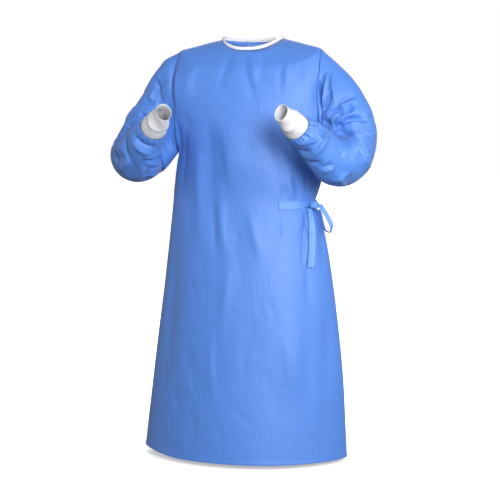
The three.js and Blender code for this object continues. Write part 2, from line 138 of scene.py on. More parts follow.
def gown_cloth_material(name, blue, thick_patch):
    """The nonwoven, in the given blue and in the deeper blue of its thicker patches."""
    material, tree, surface = new_material(name)
    place = add(tree, "ShaderNodeTexCoord").outputs["UV"]
    cloud = add(tree, "ShaderNodeTexNoise", Vector=place, Scale=1 / WEB_CLOUD, Detail=6, Roughness=0.7)
    tinted(tree, surface, cloud, blue, thick_patch)
    grain = add(tree, "ShaderNodeMapRange", Value=cloud.outputs["Fac"], To_Min=0.54, To_Max=0.64)
    tree.links.new(grain.outputs[0], surface.inputs["Roughness"])
    dots = add(tree, "ShaderNodeTexVoronoi", Vector=place, Scale=1 / DOT_SPACING, Randomness=0.15)
    crumple = add(tree, "ShaderNodeTexNoise", Vector=place, Scale=1 / CRUMPLE, Detail=5,
                  Roughness=0.55, Distortion=0.6)
    slanted = add(tree, "ShaderNodeMapping", Vector=place, Rotation=(0, 0, STREAK_TURN),
                  Scale=(1 / STREAK_WIDE, 1 / STREAK_LONG, 1))
    streaks = add(tree, "ShaderNodeTexNoise", Vector=slanted.outputs[0], Scale=1, Detail=4,
                  Roughness=0.6, Distortion=0.3)
    drawn = add(tree, "ShaderNodeBump", Height=streaks.outputs["Fac"], Distance=STREAK_DEPTH,
                Strength=0.6)
    coarse = add(tree, "ShaderNodeBump", Height=crumple.outputs["Fac"], Distance=CRUMPLE_DEPTH,
                 Strength=0.55, Normal=drawn.outputs[0])
    web = add(tree, "ShaderNodeBump", Height=cloud.outputs["Fac"], Distance=WEB_DEPTH,
              Strength=0.5, Normal=coarse.outputs[0])
    fine = add(tree, "ShaderNodeBump", Height=dots.outputs["Distance"], Distance=DOT_DEPTH,
               Strength=0.5, Normal=web.outputs[0])
    tree.links.new(fine.outputs[0], surface.inputs["Normal"])
    surface.inputs["Specular IOR Level"].default_value = 0.8
    surface.inputs["Sheen Weight"].default_value = 0.1
    surface.inputs["Sheen Roughness"].default_value = 0.5
    return material


GOWN_CLOTH = gown_cloth_material("spunbond_meltblown_polypropylene", CLOTH_BLUE, CLOTH_THICK_PATCH)
# The ties get the same nonwoven in lighter blues, which is painted light.
TIE_CLOTH_PAINTED_LIGHTER = gown_cloth_material("doubled_spunbond_polypropylene_painted_lighter", TIE_BLUE_PAINTED_LIGHTER, TIE_THICK_PATCH_PAINTED_LIGHTER)
print("material", GOWN_CLOTH.name)

# %% [markdown]
# ## Knit cuffs, neck tape and sewing thread
#
# The cuffs are a white rib knit of cotton and polyester, doubled over. Its ribs run from the
# sleeve to the mouth, about 1.3 mm apart, drawn at 2.6 mm so that they show. The neck is bound
# with a narrow woven tape folded over the raw edge. The seams are sewn with polyester thread.

# %% Rib knit, woven tape and thread
RIB_SPACING = 2.6 * MM
COURSE_SPACING = 2 * MM
TAPE_WEFT = 1.2 * MM
FUZZ = 9 * MM
THREAD_TWIST = 0.8 * MM
# A lit and a shaded blue for the thread, which the twist noise mixes: painted light and shade on its
# strands.
THREAD_LIT, THREAD_SHADED = "#6c9ae6", "#4f7fd2"
WAVES_PER_METRE = 6.2832 / 20


def ribbed_material(name, colours, across, along, depth, roughness):
    """A white cloth with fine ridges across its U direction and finer steps along V."""
    material, tree, surface = new_material(name)
    place = add(tree, "ShaderNodeTexCoord").outputs["UV"]
    ribs = add(tree, "ShaderNodeTexWave", {"bands_direction": "X"}, Vector=place,
               Scale=WAVES_PER_METRE / across, Distortion=0.4, Detail_Scale=2)
    steps = add(tree, "ShaderNodeTexWave", {"bands_direction": "Y"}, Vector=place,
                Scale=WAVES_PER_METRE / along, Distortion=0.5)
    fuzz = add(tree, "ShaderNodeTexNoise", Vector=place, Scale=1 / FUZZ, Detail=5)
    tinted(tree, surface, fuzz, *colours)
    low = add(tree, "ShaderNodeBump", Height=steps.outputs["Fac"], Distance=depth / 3, Strength=0.5)
    high = add(tree, "ShaderNodeBump", Height=ribs.outputs["Fac"], Distance=depth, Strength=0.6,
               Normal=low.outputs[0])
    tree.links.new(high.outputs[0], surface.inputs["Normal"])
    surface.inputs["Roughness"].default_value = roughness
    surface.inputs["Specular IOR Level"].default_value = 0.3
    surface.inputs["Sheen Weight"].default_value = 0.2
    return material


CUFF_KNIT = ribbed_material("rib_knit_cotton_polyester", ("#d9dadd", "#cdcfd5"), RIB_SPACING,
                            COURSE_SPACING, 0.5 * MM, 0.85)
NECK_TAPE = ribbed_material("woven_polyester_tape", ("#e6e8ee", "#dcdfe8"), TAPE_WEFT, TAPE_WEFT,
                            0.15 * MM, 0.7)


def thread_material():
    """Twisted thread with a slight shine, a little lighter than the cloth."""
    material, tree, surface = new_material("polyester_sewing_thread")
    place = add(tree, "ShaderNodeTexCoord").outputs["Object"]
    twist = add(tree, "ShaderNodeTexNoise", Vector=place, Scale=1 / THREAD_TWIST, Detail=2)
    # Painted light and shade: the twist noise mixes the lit and the shaded blue.
    tinted(tree, surface, twist, THREAD_LIT, THREAD_SHADED)
    surface.inputs["Roughness"].default_value = 0.5
    return material


THREAD = thread_material()
print("materials", CUFF_KNIT.name, NECK_TAPE.name, THREAD.name)

# %% [markdown]
# ## Numbers that run smoothly
#
# A garment's shape is written as a short table, with a row for each level, and a smooth curve
# through the rows gives every level between. All of it works on whole arrays of points at once.

# %% Easing, unit vectors and a smooth curve through a table
def smooth(t):
    """An ease from 0 to 1 that starts and stops level."""
    c = np.clip(t, 0, 1)
    return c * c * (3 - 2 * c)


def mix(a, b, t):
    return a + (b - a) * t


def unit(v):
    return v / np.linalg.norm(v, axis=-1, keepdims=True)


def curve_through(places, values):
    """A function that passes through the values without overshooting them."""
    places, values = np.array(places, float), np.array(values, float)
    step = np.diff(values) / np.diff(places)
    before, after = step[:-1], step[1:]
    total = np.where(before * after > 0, before + after, 1)
    inner = np.where(before * after > 0, 2 * before * after / total, 0)
    slope = np.concatenate([step[:1], inner, step[-1:]])

    def value(x):
        i = np.clip(np.searchsorted(places, x, side="right") - 1, 0, len(places) - 2)
        width = places[i + 1] - places[i]
        t = (x - places[i]) / width
        line = values[i] * (2 * t**3 - 3 * t**2 + 1) + values[i + 1] * (3 * t**2 - 2 * t**3)
        return line + width * (slope[i] * (t**3 - 2 * t**2 + t) + slope[i + 1] * (t**3 - t**2))

    return value


# %% [markdown]
# ## The form of the body
#
# The front and back panels lie on one closed form. At each level it has a half width to each
# side, a depth in front and behind, and a side seam. Near the top the panels stop at the
# armholes, and their middle hangs lower than the shoulder seam, which makes the neck's scoop.

# %% Sections of the body, from neck to hem, in millimetres
NECK_Z, SHOULDER_Z, UNDERARM_Z, HEM_Z = -11, -48, -345, -1238
ARMHOLE_FRONT, ARMHOLE_BACK, ARMHOLE_ROUNDNESS = 62, 68, 0.62
NECK_FLATNESS = 1.2
BODY_COLUMNS = ("left", "right", "seam_y", "front_y", "back_y", "front_drop", "back_drop", "point")
BODY = (
    (NECK_Z, 94, 94, 0, -85, 66, 38, 4, 1),
    (-28, 158, 158, -20, -108, 82, 54, 30, 1),
    (SHOULDER_Z, 215, 215, -42, -124, 92, 62, 42, 1),
    (-120, 215, 215, -42, -140, 98, 48, 34, 1),
    (-200, 216, 215, -42, -150, 98, 28, 20, 1),
    (-280, 219, 215, -42, -153, 92, 10, 8, 1),
    (UNDERARM_Z, 220, 217, -42, -152, 86, 0, 0, 1),
    (-385, 225, 218, -42, -152, 82, 0, 0, 1.03),
    (-425, 230, 215, -43, -151, 79, 0, 0, 1.06),
    (-460, 234, 206, -44, -150.8, 78, 0, 0, 1.08),
    (-492, 236, 196, -45, -152.8, 79, 0, 0, 1.1),
    (-522, 239, 208, -45, -157, 83, 0, 0, 1.12),
    (-565, 244, 222, -46, -164.4, 90, 0, 0, 1.15),
    (-620, 250, 234, -47, -174, 97, 0, 0, 1.17),
    (-690, 258, 246, -49, -186, 104, 0, 0, 1.2),
    (-770, 267, 258, -51, -198, 111, 0, 0, 1.23),
    (-860, 279, 270, -53, -210, 118, 0, 0, 1.26),
    (-950, 290, 280, -55, -220, 125, 0, 0, 1.28),
    (-1045, 301, 288, -57, -230, 132, 0, 0, 1.3),
    (-1140, 312, 293, -59, -240, 139, 0, 0, 1.3),
    (HEM_Z, 322, 298, -60, -249, 146, 0, 0, 1.3),
)
RISING = BODY[::-1]
SECTION = {
    name: curve_through([row[0] for row in RISING], [row[column + 1] for row in RISING])
    for column, name in enumerate(BODY_COLUMNS)
}


def armhole_reach(level, full):
    """How far an armhole reaches in front of or behind the shoulder seam."""
    middle, half = (SHOULDER_Z + UNDERARM_Z) / 2, (SHOULDER_Z - UNDERARM_Z) / 2
    share = np.clip(1 - ((level - middle) / half) ** 2, 0, 1)
    return full * share**ARMHOLE_ROUNDNESS


def plain_body(face, across, level):
    """Points of the body with no folds. across runs from -1 at the -X edge to 1 at the +X edge."""
    s = {name: at(level) for name, at in SECTION.items()}
    front = face == "front"
    depth = s["seam_y"] - s["front_y"] if front else s["back_y"] - s["seam_y"]
    reach = armhole_reach(level, ARMHOLE_FRONT if front else ARMHOLE_BACK)
    edge_angle = np.arccos((reach / depth) ** (1 / s["point"]))
    angle = across * edge_angle
    x = np.where(across > 0, s["right"], s["left"]) / np.sin(edge_angle) * np.sin(angle)
    offset = depth * np.abs(np.cos(angle)) ** s["point"]
    scoop = np.abs(across) ** (NECK_FLATNESS if front else 1)
    drop = s["front_drop" if front else "back_drop"] * np.cos(np.pi / 2 * scoop) ** 2
    return np.stack([x, s["seam_y"] + (-offset if front else offset), level - drop], -1)


def past_the_seam(face, across, level):
    """As plain_body, and round the side seam onto the other face where across passes 1 or -1."""
    other = "back" if face == "front" else "front"
    here = plain_body(face, np.clip(across, -1, 1), level)
    beyond = plain_body(other, np.sign(across) * (2 - np.abs(across)), level)
    turned = (np.abs(across) > 1) & (armhole_reach(level, 1) == 0)
    return np.where(turned[:, None], beyond, here)


def body_normal(face, across, level):
    """The way straight out of the body with no folds."""
    sideways = past_the_seam(face, across + 0.01, level) - past_the_seam(face, across - 0.01, level)
    above = plain_body(face, across, np.minimum(level + 2, NECK_Z))
    below = plain_body(face, across, np.maximum(level - 2, HEM_Z))
    normal = unit(np.cross(below - above, sideways))
    return normal if face == "front" else -normal


half_chest = float(plain_body("front", np.array([1.0]), np.array([-200.0]))[0, 0])
print("chest is", round(half_chest * 2), "mm across")

# %% [markdown]
# ## Folds, one soft line at a time
#
# A fold in cloth is a line with a rounded top: it swells, runs a way and fades, and one flank is
# often steeper than the other. Each row of a table gives such a line, how far it reaches to
# either side, and its height, above 0 for a ridge and below 0 for a trough. A simulation would
# give folds too, but not these ones in these places, so they are listed one by one.

# %% A soft line: distance to a short path, with two flanks and faded ends
# A line fades over the FADE share of its length at each end. A lower CREST gives a sharper top.
LINE_STEPS = 6
FADE = 0.45
CREST = 1.7
SLEEVE_FADE = 0.33
SLEEVE_CREST = 1.45


def path_through(start, middle, end):
    """Points along the curve that passes through three points."""
    t = np.linspace(0, 1, LINE_STEPS + 1)[:, None]
    start, middle, end = (np.array(p, float) for p in (start, middle, end))
    bend = 2 * middle - (start + end) / 2
    return start * (1 - t) ** 2 + bend * 2 * t * (1 - t) + end * t**2


def soft_line(points, normals, path, near, far, height, crest=CREST, fade=FADE):
    """Height of one fold over the points. near and far are its reaches to the right and left
    of the way the path runs, as seen from outside."""
    rise = np.zeros(len(points))
    margin = 2.4 * max(near, far)
    close = ((points > path.min(0) - margin) & (points < path.max(0) + margin)).all(1)
    p, n = points[close], normals[close]
    nearest = np.full(len(p), 1e9)
    side, along = np.zeros(len(p)), np.zeros(len(p))
    for i in range(LINE_STEPS):
        way = path[i + 1] - path[i]
        t = np.clip((p - path[i]) @ way / (way @ way), 0, 1)
        off = p - path[i] - t[:, None] * way
        distance = np.linalg.norm(off, axis=1)
        better = distance < nearest
        nearest = np.where(better, distance, nearest)
        side = np.where(better, (np.cross(way, off) * n).sum(1), side)
        along = np.where(better, (i + t) / LINE_STEPS, along)
    reach = np.where(side < 0, near, far)
    ends = smooth(along / fade) * smooth((1 - along) / fade)
    rise[close] = height * ends * np.exp(-((nearest / reach) ** crest))
    return rise


# %% Folds of the front, seen from the front: x and z of a start, a middle and an end
FRONT_FOLDS = (
    # neck and chest
    (-55, -40, -56, -100, -84, -185, 11, 16, -4),
    (-10, -56, 12, -120, 52, -235, 17, 11, -4.5),
    (24, -60, 30, -105, 42, -170, 20, 18, 3.5),
    (56, -52, 51, -105, 57, -175, 11, 18, -3),
    (134, -60, 126, -115, 128, -190, 9, 13, 3),
    (158, -78, 166, -110, 175, -150, 10, 8, -2.5),
    (104, -64, 108, -130, 118, -200, 7, 11, -2),
    (-140, -70, -166, -130, -176, -215, 16, 20, 5),
    (-196, -230, -176, -250, -150, -300, 12, 12, -3),
    (-200, -70, -206, -150, -202, -250, 7, 34, 12),
    (-212, -225, -210, -310, -216, -420, 6, 20, -10),
    (212, -80, 214, -170, 212, -260, 15, 5, -9),
    # ribs and waist
    (98, -245, 150, -330, 198, -440, 24, 16, -13),
    (-98, -235, -94, -350, -84, -580, 22, 20, -5),
    (-133, -255, -134, -440, -112, -690, 22, 18, 6),
    (-43, -250, -50, -330, -60, -430, 15, 12, -2.5),
    (-48, -250, -44, -350, -18, -485, 16, 70, 10),
    (-66, -420, -58, -545, -30, -676, 13, 15, 5),
    (-30, -640, -36, -745, -50, -885, 14, 20, 4.5),
    (-86, -470, -80, -560, -66, -680, 11, 10, -4),
    (-167, -235, -186, -350, -196, -520, 14, 14, -6),
    (60, -290, 96, -370, 104, -470, 18, 16, -4),
    (146, -395, 156, -445, 167, -490, 8, 6, -7),
    (122, -430, 120, -458, 119, -486, 6, 6, -2.5),
    (178, -405, 183, -445, 186, -490, 6, 7, -6),
    (200, -430, 199, -460, 196, -490, 6, 7, -6),
    (132, -400, 140, -445, 148, -486, 8, 8, 3),
    # skirt
    (-40, -450, 0, -640, 22, -775, 22, 30, -2.5),
    (18, -735, 44, -870, 74, -960, 20, 26, -1.5),
    (132, -560, 150, -820, 166, -1160, 78, 44, 9),
    (16, -480, 44, -590, 72, -665, 14, 20, 5),
    (111, -512, 112, -560, 110, -612, 5, 7, -3),
    (164, -518, 160, -560, 152, -625, 8, 9, 4),
    (171, -505, 183, -545, 192, -620, 5, 7, -7),
    (186, -640, 192, -720, 204, -830, 9, 12, -4),
    (176, -512, 178, -600, 176, -690, 4, 5, -7),
    (206, -520, 222, -600, 232, -700, 8, 10, -5),
    (-207, -500, -222, -800, -250, -1130, 26, 30, -8),
    (-72, -850, -72, -970, -44, -1130, 12, 14, 3),
    (-60, -850, -61, -950, -56, -1070, 9, 11, -2),
    (28, -850, 26, -940, 32, -1040, 12, 14, -1.6),
    (74, -930, 112, -1030, 128, -1170, 26, 18, -2),
    (128, -850, 146, -950, 162, -1080, 12, 22, 3),
    (-164, -905, -144, -960, -116, -1015, 15, 15, -2.4),
    (-198, -1015, -190, -1060, -178, -1110, 13, 12, -3),
    (-130, -1085, -129, -1135, -126, -1195, 13, 12, -3.5),
    (-150, -995, -145, -1025, -138, -1060, 9, 9, 3),
    (244, -760, 250, -900, 254, -1090, 17, 18, -5),
    (162, -800, 170, -930, 176, -1090, 20, 22, 4.5),
    (210, -900, 222, -1020, 226, -1190, 16, 18, 3),
    # small diagonal wrinkles
    (50, -745, 66, -790, 84, -836, 8, 12, -1.4),
    (83, -752, 100, -797, 120, -840, 8, 12, -1.3),
    (113, -754, 132, -788, 154, -824, 8, 12, -1.2),
    (-108, -1160, -93, -1190, -74, -1214, 7, 8, -1.2),
    (-58, -1120, -43, -1155, -26, -1188, 5, 6, -1.8),
    (-14, -1060, 26, -1108, 76, -1136, 8, 12, -1.4),
    (-156, -1132, -146, -1165, -134, -1198, 6, 6, -1.6),
    (-20, -560, -6, -590, 10, -612, 5, 6, -1.5),
    (-150, -700, -142, -740, -128, -778, 6, 7, -1.8),
)

# %% Folds of the back, x and z as above
BACK_FOLDS = (
    (58, -50, 62, -110, 90, -190, 7, 12, -4),
    (-46, -52, -52, -120, -80, -210, 12, 7, -4.5),
    (0, -62, 6, -130, -4, -230, 20, 18, 3),
    (-140, -80, -160, -150, -168, -240, 16, 18, 4.5),
    (146, -84, 160, -150, 170, -230, 14, 12, -4),
    (96, -240, 84, -360, 70, -480, 16, 13, -6),
    (-40, -250, -58, -420, -50, -640, 20, 16, -6),
    (-96, -250, -110, -400, -104, -620, 22, 18, 6),
    (20, -260, 26, -350, 64, -450, 18, 14, 5),
    # pulls that run to the sewn end of the tie
    (-120, -395, -10, -420, 112, -480, 12, 9, -6),
    (-60, -450, 20, -470, 118, -492, 9, 9, 5),
    (-90, -520, 10, -512, 116, -502, 9, 12, -5),
    (-10, -600, 60, -560, 122, -515, 12, 9, -6),
    (60, -640, 96, -585, 130, -520, 9, 9, 4.5),
    # skirt
    (36, -620, 18, -800, 26, -1010, 22, 28, -9),
    (-20, -560, -40, -800, -62, -1090, 22, 22, 7),
    (-150, -420, -176, -700, -196, -1010, 26, 24, -8),
    (104, -620, 120, -830, 152, -1180, 22, 22, 6),
    (-104, -760, -112, -920, -130, -1190, 18, 16, -6),
    (70, -840, 88, -980, 96, -1200, 14, 16, -5),
    (-216, -560, -232, -820, -262, -1170, 20, 22, 5),
    (-8, -930, 0, -1040, 8, -1180, 14, 12, 4),
    (180, -640, 200, -800, 222, -1120, 20, 22, -6),
    (-30, -1060, -16, -1100, 2, -1134, 6, 8, -2),
    (-160, -980, -148, -1020, -130, -1060, 6, 8, -2),
    (120, -700, 134, -735, 150, -764, 5, 7, -2),
)

# %% Height of all the folds at a place on the body
EDGE_FADE = 0.02


def body_rise(face, across, points):
    """Height of the folds at points of the body, which fade out at the side seams."""
    flat = points * (1, 0, 1)
    outward = np.broadcast_to((0, -1 if face == "front" else 1, 0), points.shape)
    total = np.zeros(len(points))
    for x1, z1, x2, z2, x3, z3, near, far, height in FRONT_FOLDS if face == "front" else BACK_FOLDS:
        path = path_through((x1, 0, z1), (x2, 0, z2), (x3, 0, z3))
        total += soft_line(flat, outward, path, near, far, height)
    return total * smooth((1 - np.abs(across)) / EDGE_FADE)


def body_point(face, across, level, sink=0):
    """Points of the folded body, sunk inwards by the given depth."""
    across, level = np.broadcast_arrays(np.asarray(across, float), np.asarray(level, float))
    points = plain_body(face, across, level)
    out = body_rise(face, across, points) - sink
    return points + body_normal(face, across, level) * out[:, None]


print(len(FRONT_FOLDS), "folds in front,", len(BACK_FOLDS), "behind")

# %% [markdown]
# ## A sheet of cloth from a grid
#
# Every sewn piece starts as Blender's own flat grid, which is the cut cloth. Its vertices are
# then carried to their places in the worn gown. The grid's flat coordinates are kept as a UV map
# in metres, so the cloth's pattern stays the same size wherever it goes.

# %% Make a sheet, wrap it round where it is a tube, and finish it
CLOTH_THICKNESS = 0.8 * MM


def bent_grid(columns, rows, place, flat, tube=False):
    """A bmesh grid whose points go where place(u, v) puts them, in millimetres."""
    bm = bmesh.new()
    bmesh.ops.create_grid(bm, x_segments=columns, y_segments=rows, size=1)
    start = np.array([v.co for v in bm.verts])
    u, v = (start[:, 0] + 1) / 2, (start[:, 1] + 1) / 2
    layer = bm.loops.layers.uv.new("cloth")
    for face in bm.faces:
        for loop in face.loops:
            i = loop.vert.index
            loop[layer].uv = (u[i] * flat[0], v[i] * flat[1])
    for vert, point in zip(bm.verts, place(u, v) * MM):
        vert.co = point
    if tube:
        bmesh.ops.remove_doubles(bm, verts=bm.verts, dist=0.02 * MM)
    return bm


def face_away(bm, inside):
    """Turns all the faces the same way, out from a point inside the form."""
    inside = Vector(inside) * MM
    outwardness = sum(f.normal.dot(f.calc_center_median() - inside) * f.calc_area() for f in bm.faces)
    if outwardness < 0:
        bmesh.ops.reverse_faces(bm, faces=bm.faces)


def finished(name, bm, node, material, thickness=CLOTH_THICKNESS):
    """The bmesh as an object that stands for a node. Its cloth gets its thickness inwards."""
    bm.normal_update()
    mesh = bpy.data.meshes.new(name)
    bm.to_mesh(mesh)
    bm.free()
    mesh.materials.append(material)
    mesh.shade_smooth()
    piece = bpy.data.objects.new(name, mesh)
    bpy.context.collection.objects.link(piece)
    if thickness:
        shell = piece.modifiers.new("thickness", "SOLIDIFY")
        shell.thickness = thickness
        shell.offset = -1
        shell.use_even_offset = False
    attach(piece, "root")
    if node:
        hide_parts(node)
    area = sum(p.area for p in mesh.polygons)
    print(f"{name}: {len(mesh.polygons)} faces, {area:.3f} square metres")
    return piece


def spaced(t, count, start, end):
    """t from 0 to 1, with the first and last three steps of the grid squeezed into small shares."""
    three = 3 / count
    return np.interp(t, [0, three, 1 - three, 1], [0, start, 1 - end, 1])


# %% [markdown]
# ## Front and back panels
#
# The panels are cut wide, so they hang off the shoulders in long folds. At the side seams and
# armholes the edge turns in a little, which is what a sewn seam looks like from outside. The hem
# is turned up 10 mm and sewn, so the cloth is double there and stands out by its own thickness.

# %% The edges of the two back panels, and how the inner one sinks under the outer one
LAP_STEP, LAP_EASE = 6.5, 0.1
LAP_WIDENS = 480
# Places across the back of each free edge, at the neck and from LAP_WIDENS below it.
OUTER_EDGE, INNER_EDGE = (0.42, 0.74), (-0.24, -0.42)


def outer_edge(level):
    """Where the outer panel's free edge lies across the back."""
    return mix(*OUTER_EDGE, smooth((NECK_Z - level) / LAP_WIDENS))


def inner_edge(level):
    """Where the inner panel's free edge lies, under the outer one."""
    return mix(*INNER_EDGE, smooth((NECK_Z - level) / LAP_WIDENS))


def lap_depth(across, level):
    """How deep the inner panel lies under the outer one."""
    return LAP_STEP * smooth((1 - across) / (1 - outer_edge(level) - LAP_EASE))


# %% Panels
HEM_FOLD = 10
SEAM_TURN = 1.3
HEM_PROUD, HEM_DRAWN_IN = 0.7, 0.5
# The hem hangs 9 mm higher at the wearer's right.
RIGHT_HEM_LIFT, HEM_LIFT_REACH = 9, 160
HEM_LIFT_FROM, HEM_LIFT_WIDE = 170, 150
PANEL_ROWS = 250


def lifted_side(x):
    """How much of the hem's lift a place has: none at HEM_LIFT_FROM, and all further right."""
    return smooth(-(x + HEM_LIFT_FROM) / HEM_LIFT_WIDE)


def panel_place(face, edges, sink, columns, seams):
    """Where a panel's grid goes. edges gives its first and last place across at each level, and
    seams says which of these two edges are sewn."""

    def place(u, v):
        t = np.interp(v, [0, 0.035, 1], [0, 18 / (NECK_Z - HEM_Z), 1])
        level = mix(HEM_Z, NECK_Z, t)
        share = spaced(u, columns, 0.012, 0.012)
        first, last = edges(level)
        across = mix(first, last, share)
        from_edge = np.minimum(np.where(seams[0], share, 1), np.where(seams[1], 1 - share, 1))
        turn = SEAM_TURN * (1 - smooth(from_edge / 0.01)) * smooth((SHOULDER_Z - level) / 60)
        above_hem = level - HEM_Z
        doubled = HEM_PROUD * (1 - smooth((above_hem - HEM_FOLD) / 1.5))
        hem = doubled - HEM_DRAWN_IN * np.exp(-(((above_hem - HEM_FOLD) / 1.6) ** 2))
        points = body_point(face, across, level, sink(across, level) + turn - hem)
        near_hem = smooth((HEM_Z + HEM_LIFT_REACH - level) / HEM_LIFT_REACH)
        points[:, 2] += RIGHT_HEM_LIFT * (near_hem * lifted_side(points[:, 0]))
        return points

    return place


def whole(level):
    """The edges of a panel that reaches from side seam to side seam."""
    return -1, 1


def unsunk(across, level):
    """No depth, for a panel that lies on the outside."""
    return 0 * across


def panel(name, face, columns, edges, sink, seams, flat):
    """A panel of the body, from its flat grid to the finished piece."""
    bm = bent_grid(columns, PANEL_ROWS, panel_place(face, edges, sink, columns, seams), flat)
    bm.normal_update()
    face_away(bm, (0, -20, -600))
    return finished(name, bm, name, GOWN_CLOTH)


FRONT_CUT = (0.86, 1.28)
OUTER_BACK_CUT = (0.8, 1.26)
INNER_BACK_CUT = (0.66, 1.26)
front_panel = panel("front_panel", "front", 150, whole, unsunk, (True, True), FRONT_CUT)
back_panel_outer = panel("back_panel_outer", "back", 124, lambda z: (outer_edge(z), -1), unsunk,
                         (False, True), OUTER_BACK_CUT)
back_panel_inner = panel("back_panel_inner", "back", 92, lambda z: (1, inner_edge(z)), lap_depth,
                         (True, False), INNER_BACK_CUT)

# %% [markdown]
# ## Sleeves
#
# The sleeves are wide tubes. They hang from the armhole, bend at the elbow and come forward, so
# the cloth bunches inside the bend and bags below the forearm, and at the wrist it is gathered
# into the cuff. Each is a grid rolled into a tube along a table of sections, and its creases are
# soft lines again, given by how far along the sleeve they are and by the turn round it.

# %% Sections of the sleeves, from the shoulder cap to the wrist, in millimetres
SLEEVES = {
    "right": {
        "sign": -1,
        "base": (-217.5, -299, -277),
        "mouth": (-174, -355, -231),
        "rows": (
            (-268, -48, -79, -238, -42, -368, 66, 68),
            (-328, -60, -164, -254, -52, -391, 72, 74),
            (-365, -92, -244, -262, -66, -403, 70, 76),
            (-383, -148, -306, -260, -104, -403, 54, 76),
            (-360, -212, -324, -246, -165, -394, 56, 68),
            (-320, -260, -300, -222, -222, -354, 57, 58),
            (-275, -296, -267, -196, -267, -316, 45, 46),
            (-249, -311, -258, -186, -287, -296, 38, 38),
        ),
    },
    "left": {
        "sign": 1,
        "base": (196.5, -300, -277),
        "mouth": (165, -358, -234),
        "rows": (
            (257, -50, -88, 233, -44, -364, 66, 68),
            (316, -64, -164, 246, -56, -394, 72, 74),
            (356, -94, -246, 250, -74, -410, 70, 75),
            (353, -150, -310, 238, -110, -413, 54, 77),
            (323, -213, -331, 228, -168, -406, 56, 70),
            (292, -261, -306, 208, -222, -362, 58, 62),
            (249, -297, -266, 178, -268, -314, 44, 44),
            (226, -312, -258, 167, -288, -296, 38, 38),
        ),
    },
}
CAP = 1 / 16
WRIST_BLEND = 0.14


def sleeve_line(side, along):
    """The two fold lines of a sleeve and its half depths, along = 0 at the cap and 1 at the wrist."""
    rows = SLEEVES[side]["rows"]
    places = np.arange(len(rows))
    value = [curve_through(places, column)(np.clip(along, 0, 1) * places[-1]) for column in zip(*rows)]
    return np.stack(value[:3], -1), np.stack(value[3:6], -1), value[6], value[7]


def sleeve_section(side, along, turn):
    """Points round the sleeve. turn is 0 on the outer fold line, a quarter inside the elbow."""
    base, mouth = (np.array(SLEEVES[side][key], float) for key in ("base", "mouth"))
    wrist_way = unit(mouth - base)
    top, low, crook, out = sleeve_line(side, along)
    ahead, behind = sleeve_line(side, along + 0.02), sleeve_line(side, along - 0.02)
    at_wrist = smooth((along - 1 + WRIST_BLEND) / WRIST_BLEND)[:, None]
    way = unit(mix(unit(ahead[0] + ahead[1] - behind[0] - behind[1]), wrist_way, at_wrist))
    half = (top - low) / 2
    square = unit(half - (half @ wrist_way)[:, None] * wrist_way) * crook[:, None]
    half = mix(half, square, at_wrist)
    middle = mix((top + low) / 2, base, at_wrist)
    crook_way = unit(np.cross(way, half)) * SLEEVES[side]["sign"]
    depth = np.where(np.sin(turn) > 0, crook, out) * np.sin(turn)
    return middle + half * np.cos(turn)[:, None] + crook_way * depth[:, None]


def armhole_point(side, turn):
    sign = SLEEVES[side]["sign"]
    level = (SHOULDER_Z + UNDERARM_Z) / 2 + (SHOULDER_Z - UNDERARM_Z) / 2 * np.cos(turn)
    across = np.full(len(turn), float(sign))
    front, back = plain_body("front", across, level), plain_body("back", across, level)
    return np.where((np.sin(turn) >= 0)[:, None], front, back) + (sign * 0.3, 0, 0)


def plain_sleeve(side, run, turn):
    """Points of the sleeve with no creases. run is 0 at the armhole and 1 at the cuff."""
    start, first = armhole_point(side, turn), sleeve_section(side, np.zeros_like(run), turn)
    leaving = (sleeve_section(side, np.full_like(run, 0.01), turn) - first) / 0.01 * CAP / (1 - CAP)
    t = np.clip(run / CAP, 0, 1)[:, None]
    cap = start * (2 * t**3 - 3 * t**2 + 1) + first * (3 * t**2 - 2 * t**3)
    cap += (first - start) * (t**3 - 2 * t**2 + t) + leaving * (t**3 - t**2)
    sleeve = sleeve_section(side, np.clip((run - CAP) / (1 - CAP), 0, 1), turn)
    return np.where((run < CAP)[:, None], cap, sleeve)


